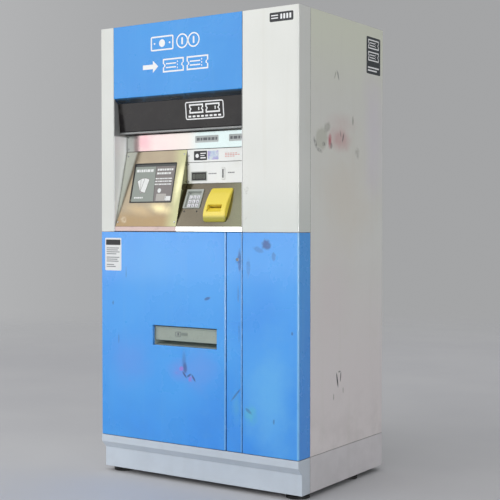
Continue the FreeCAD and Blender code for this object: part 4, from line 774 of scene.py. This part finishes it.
FRONT = (0, -1, 0)
LEFT_SLOPE, RIGHT_SLOPE = (0, -0.97, 0.24), (0, -0.91, 0.41)
sign_face = Face("sign_panel", FRONT, "door")
visor_face = Face("visor_panel", (0, -1, -0.1), "door")
service_face = Face("service_panel", FRONT, "door")
column_face = Face("upper_right_cover", FRONT, "door")
side_face = Face("right_side_panel", (1, 0, 0), "cabinet")
header_face = Face("header_panel", FRONT, "door")
info_face = Face("banknote_info_panel", FRONT, "door")
coin_face = Face("coin_panel", FRONT, "door")
amount_face = Face("amount_display", FRONT, "door")
left_slope = Face("left_console", LEFT_SLOPE, "door")
right_slope = Face("right_console", RIGHT_SLOPE, "door")
display_slope = Face("display_module", LEFT_SLOPE, "door")
flap_face = Face("outlet_flap", FRONT, "outlet_flap")


def sign():
    """Wordless signs: money goes in, tickets come out."""
    note = frame_of(-213, -99, 1716, 1774, 7, 6)
    note_mark = [disc(-156, 1745, 15), disc(-194, 1745, 4, 12), disc(-118, 1745, 4, 12)]
    coin_rings = [(disc(x, 1745, 29, 40), disc(x, 1745, 23.5, 40)) for x in (-56.0, 0.0)]
    coin_marks = [rounded(x - 4, x + 4, 1731, 1759, 3.5) for x in (-56.0, 0.0)]
    plates("sign_money", sign_face, note_mark + coin_marks, ink_white,
           rings=[note, *coin_rings])
    outlines, rings = [arrow(-254, -176, 1655, 24)], []
    for x in (-100, 18):
        edge, bars = ticket(x, 1655, 104, 54, 6)
        rings.append(edge)
        outlines += bars
    plates("sign_tickets", sign_face, outlines, ink_white, rings=rings)


def visor_plate():
    rings = [frame_of(-62, 123, 1438, 1508, 9, 4.5)]
    outlines = [rounded(-49 + 20.5 * i, -35 + 20.5 * i, 1447, 1454, 2) for i in range(8)]
    for x in (-9, 70):
        rings.append((ticket_outline(x, 1480, 68, 36, 4.5), ticket_outline(x, 1480, 56, 24, 4.5)))
        outlines.append(bar(x + 10, x + 15, 1474, 1486))
    plates("visor_plate", visor_face, outlines, ink_white, rings=rings)


def labels():
    plates("number_plate", column_face, [rounded(351, 454, 1775, 1809, 5)], ink_black)
    marks = [bar(358, 388, 1796, 1800), bar(358, 388, 1786, 1790)]
    marks += [rounded(398 + 13 * i, 406 + 13 * i, 1783, 1802, 2) for i in range(4)]
    plates("number_plate_marks", column_face, marks, ink_white, base=FILM)
    plates("instruction_label", service_face, [rounded(-457, -370, 837, 971, 5)], film_white)
    rows = ((928, 66), (920, 60), (912, 70), (904, 52), (890, 68), (882, 58), (874, 64), (860, 40), (852, 48))
    lines = [bar(-449, -449 + width, z, z + 3.0) for z, width in rows]
    plates("instruction_label_lines", service_face, lines, ink_grey, base=FILM)
    plates("instruction_label_head", service_face, [rounded(-452, -375, 942, 964, 3)], ink_black,
           base=FILM)
    plates("side_plate", side_face, [rounded(190, 311, 1639, 1789, 6)], film_dark)
    side, rings = [bar(203, 298, 1662, 1668), bar(203, 280, 1650, 1656)], []
    for z in (1760, 1711):
        edge, bars = ticket(250.5, z, 92, 38, 5)
        rings.append(edge)
        side += bars
    plates("side_plate_marks", side_face, side, ink_white, rings=rings, base=FILM)


def words(x0, x1, z, height, lengths, space=3.0):
    """A row of short bars that stands for a line of text, as long as it fits."""
    row, x, index = [], x0, 0
    while x + lengths[index % len(lengths)] <= x1:
        length = lengths[index % len(lengths)]
        row.append(bar(x, x + length, z, z + height))
        x += length + space
        index += 1
    return row


def console_prints():
    """The small prints on the niche's panels, each a plain pictogram or bar."""
    pale = printed("header_film", tone(196, 202, 200), tone(214, 218, 216))
    panes = [rounded(-52, 62, 1351, 1378, 4), rounded(112, 188, 1351, 1378, 4)]
    plates("header_films", header_face, panes, pale)
    rows = words(-44, 58, 1359, 11, (15, 9, 20, 12), 4) + words(118, 184, 1359, 11, (12, 18, 10), 4)
    plates("header_marks", header_face, rows, ink_grey, base=FILM)
    plates("note_picture_dark", info_face, [rounded(-58, 6, 1281, 1318, 2)], ink_black)
    marks = [disc(-42, 1299, 8), bar(-26, 0, 1306, 1310), bar(-26, -6, 1298, 1301), bar(-26, 0, 1288, 1293)]
    plates("note_picture_marks", info_face, marks, ink_white, base=FILM)
    plates("note_picture", info_face, [rounded(10, 62, 1282, 1317, 2)], note_picture())
    red = [bar(93 + 12 * i, 102 + 12 * i, z, z + 2.6)
           for z, count in ((1303, 5), (1297, 6), (1291, 4)) for i in range(count)]
    plates("note_rules", info_face, red, ink_red)
    grey = [bar(14 + 8 * i, 20 + 8 * i, 1225, 1229) for i in range(5)]
    grey += [bar(108 + 8 * i, 114 + 8 * i, 1227, 1231) for i in range(4)]
    plates("coin_rules", coin_face, grey, ink_grey)
    digits = []
    for x in (-58, -42, -26, -10):
        for z in (1209, 1217, 1225):
            digits.append(bar(x - 3, x + 3, z - 1.3, z + 1.3))
        digits += [bar(x + side - 1.3, x + side + 1.3, z - 2.5, z + 2.5)
                   for side in (-4.4, 4.4) for z in (1213, 1221)]
    segments = printed("unlit_segments", tone(132, 138, 126), tone(110, 116, 106))
    plates("amount_segments", amount_face, digits, segments)


def display():
    """What the customer display shows: a fan of tickets on the left, rows of plain bars on the right."""
    lit = printed("display_lit", tone(150, 158, 150), tone(160, 166, 158), rough=0.2, wear=0.5)
    dim = printed("display_dim", tone(132, 126, 124), tone(124, 112, 120), rough=0.2, wear=0.5)
    pale = printed("display_pale", tone(186, 182, 176), tone(198, 194, 188), rough=0.2)
    glow = printed("display_glow", tone(240, 242, 240), tone(222, 226, 224), rough=0.2)
    left = [[(-344, 1119), (-228, 1119), (-239, 1262), (-344, 1262)]]
    right = [[(-226, 1119), (-139, 1119), (-139, 1262), (-237, 1262)]]
    plates("display_pane_left", display_slope, left, lit)
    plates("display_pane_right", display_slope, right, dim)
    plates("display_shade", display_slope, [rounded(-216, -166, 1121, 1150, 3)], pale,
           base=FILM)
    marks = words(-336, -246, 1240, 11, (14, 5, 9, 9, 5, 16), 2.5) + words(-330, -272, 1132, 6, (8, 5, 12), 2)
    marks += words(-228, -144, 1244, 8, (9, 13, 6), 2.5) + words(-228, -148, 1229, 8, (13, 6, 10), 2.5)
    for z in (1209, 1198, 1186):
        marks += words(-232, -144, z, 5, (11, 6, 15, 8), 2)
    marks += [rounded(-172, -142, 1122, 1140, 2), disc(-204, 1163, 9)]
    plates("display_marks", display_slope, marks, glow, base=FILM)
    for index, angle in enumerate((27, 6, -15)):
        outline = turned(rounded(-301, -277, 1158, 1214, 3), -289, 1160, angle)
        edge = turned(rounded(-302.8, -275.2, 1156.2, 1215.8, 4), -289, 1160, angle)
        lift = FILM + 2 * THIN_FILM * index
        plates(f"display_ticket_edge_{index + 1}", display_slope, [edge], dim, THIN_FILM,
               base=lift)
        plates(f"display_ticket_{index + 1}", display_slope, [outline], glow, THIN_FILM,
               base=lift + THIN_FILM)


def bezels():
    """Slim trims: round the display, round the amount window and round the coin slot, and two marks on the
    outlet flap.
    """
    plates("display_trim", left_slope, [], black_plastic, thickness=TRIM,
           rings=[frame_of(-350, -133, 1114, 1276, 4, 3.5)])
    plates("amount_trim", coin_face, [], grey_plastic, thickness=TRIM,
           rings=[frame_of(-71, 6, 1199, 1236, 3, 3)])
    plates("coin_slot_rim", coin_face, [], ink_black, thickness=0.0027,
           rings=[(rounded(82.2, 87.8, 1208.6, 1244.4, 2), rounded(83.3, 86.7, 1210, 1243, 0.5))])
    plates("flap_frame", flap_face, [rounded(-94, -86, 586, 596, 1)], ink_grey,
           thickness=FLAP_MARK, rings=[frame_of(-104, -78, 582, 600, 2, 1.8)])
    plates("flap_bar", flap_face, [rounded(-76, -44, 586, 597, 2)], printed("flap_mark", tone(132, 142, 134)),
           thickness=FLAP_MARK)


def fasteners():
    screws("keypad_screws", right_slope, [(-70, 1078), (-8, 1078)], 3.0, lock_black)
    for name, face, places, radius in (
            ("coin_panel_screws", coin_face, [(-84, 1197), (-84, 1266), (218, 1197), (218, 1266)], 3.0),
            ("info_panel_screws", info_face, [(-84, 1300), (218, 1300)], 3.0),
            ("header_screws", header_face, [(-396, 1338), (-396, 1385), (216, 1338), (216, 1385)], 3.0),
            ("left_console_screws", left_slope, [(x, z) for z in (1036, 1308) for x in (-394, -102)], 3.2)):
        screws(name, face, places, radius, bright)


def key_faces():
    """A plain numeral on each key."""
    ink = printed("key_numerals", tone(74, 74, 84), tone(110, 108, 112))
    for number in range(1, 10):
        face = Face(f"key_{number}", RIGHT_SLOPE, f"key_{number}")
        curve = bpy.data.curves.new(f"numeral_{number}", "FONT")
        curve.body = str(number)
        curve.size = 12 * MM
        curve.extrude = 0.0001
        curve.align_x = "CENTER"
        curve.align_y = "CENTER"
        curve.resolution_u = 3
        flat = bpy.data.objects.new(f"numeral_source_{number}", curve)
        mesh = bpy.data.meshes.new_from_object(flat)
        bpy.data.objects.remove(flat)
        low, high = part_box(f"key_{number}")
        middle = (low + high) / 2
        origin = face.at(middle.x, middle.z, SUNK)
        up = Vector((0, -face.normal.z, face.normal.y)) * -1
        place = Matrix((Vector((1, 0, 0)), up, face.normal)).transposed().to_4x4()
        place.translation = origin
        mesh.transform(place)
        piece(f"key_numeral_{number}", mesh, ink, f"key_{number}")


# ---- studio --------------------------------------------------------------------------------------
def studio():
    """A pale floor that fades out, three area lights and the soft surroundings."""
    size, fade_from, fade_to = 14.0, 3.4, 9.0
    mesh = bpy.data.meshes.new("studio_floor")
    corners = [(-size, -size, 0), (size, -size, 0), (size, size, 0), (-size, size, 0)]
    mesh.from_pydata(corners, [], [(0, 1, 2, 3)])
    floor = bpy.data.objects.new("studio_floor", mesh)
    bpy.context.scene.collection.objects.link(floor)
    g = Graph("studio_floor", Specular_IOR_Level=0.2)
    g.set("Base Color", g.mix(g.ramp(g.noise(0.8), 0.3, 0.7), tone(214, 214, 216), tone(208, 208, 211)))
    g.set("Roughness", g.ramp(g.noise(6.0), 0.3, 0.7, 0.75, 0.85))
    reach = g.add("ShaderNodeVectorMath", {0: g.position}, operation="LENGTH").outputs["Value"]
    g.set("Alpha", g.ramp(reach, fade_from, fade_to, 1.0, 0.0))
    mesh.materials.append(g.material)
    surroundings()
    soft_light("key", (-2.9, -5.2, 2.6), (0, -0.3, 0.95), (4.4, 4.4), 86, (1.0, 0.99, 0.975))
    soft_light("fill", (5.0, -3.4, 1.3), (0.3, -0.3, 0.95), (0.45, 2.8), 30, (1.0, 1.0, 1.0))
    edge = soft_light("edge_light", (5.0, -3.4, 1.3), (0.3, -0.3, 0.95), (0.6, 3.4), 330, (1.0, 1.0, 1.0))
    edge.visible_diffuse = False     # it only draws highlights along rounded edges
    bpy.context.scene.view_settings.view_transform = "Standard"


def surroundings():
    """Soft even light, bright from the front left and half as bright from the other sides."""
    world = bpy.data.worlds.new("studio")
    bpy.context.scene.world = world
    world.use_nodes = True
    tree = world.node_tree
    background = tree.nodes["Background"]
    background.inputs["Color"].default_value = (0.975, 0.985, 1.0, 1)
    direction = tree.nodes.new("ShaderNodeTexCoord")
    along = tree.nodes.new("ShaderNodeVectorMath")
    along.operation = "DOT_PRODUCT"
    along.inputs[1].default_value = Vector((-0.62, -0.78, 0.05)).normalized()
    step = tree.nodes.new("ShaderNodeMapRange")
    step.interpolation_type = "SMOOTHSTEP"
    for socket, value in (("From Min", -0.35), ("From Max", 0.75), ("To Min", 0.38), ("To Max", 0.86)):
        step.inputs[socket].default_value = value
    tree.links.new(direction.outputs["Generated"], along.inputs[0])
    tree.links.new(along.outputs["Value"], step.inputs["Value"])
    tree.links.new(step.outputs[0], background.inputs["Strength"])


def soft_light(name, place, aim, size, power, colour):
    light = bpy.data.lights.new(name, "AREA")
    light.shape, light.energy, light.color = "RECTANGLE", power, colour
    light.size, light.size_y = size
    lamp = bpy.data.objects.new(name, light)
    lamp.location = place
    lamp.rotation_euler = (Vector(aim) - Vector(place)).to_track_quat("-Z", "Y").to_euler()
    bpy.context.scene.collection.objects.link(lamp)
    return lamp


def camera():
    """The photograph's viewing angle."""
    below_level, turned_left = 1.40, 33.79
    lens = bpy.data.cameras.new("camera")
    lens.sensor_width, lens.lens = 36.0, 78.3
    view = bpy.data.objects.new("camera", lens)
    view.location = (2.542, -3.7418, 1.0304)
    view.rotation_euler = (math.radians(90 - below_level), 0, math.radians(turned_left))
    bpy.context.scene.collection.objects.link(view)
    bpy.context.scene.camera = view


camera()
studio()
finish_nodes()
sign()
visor_plate()
labels()
console_prints()
display()
bezels()
fasteners()
key_faces()
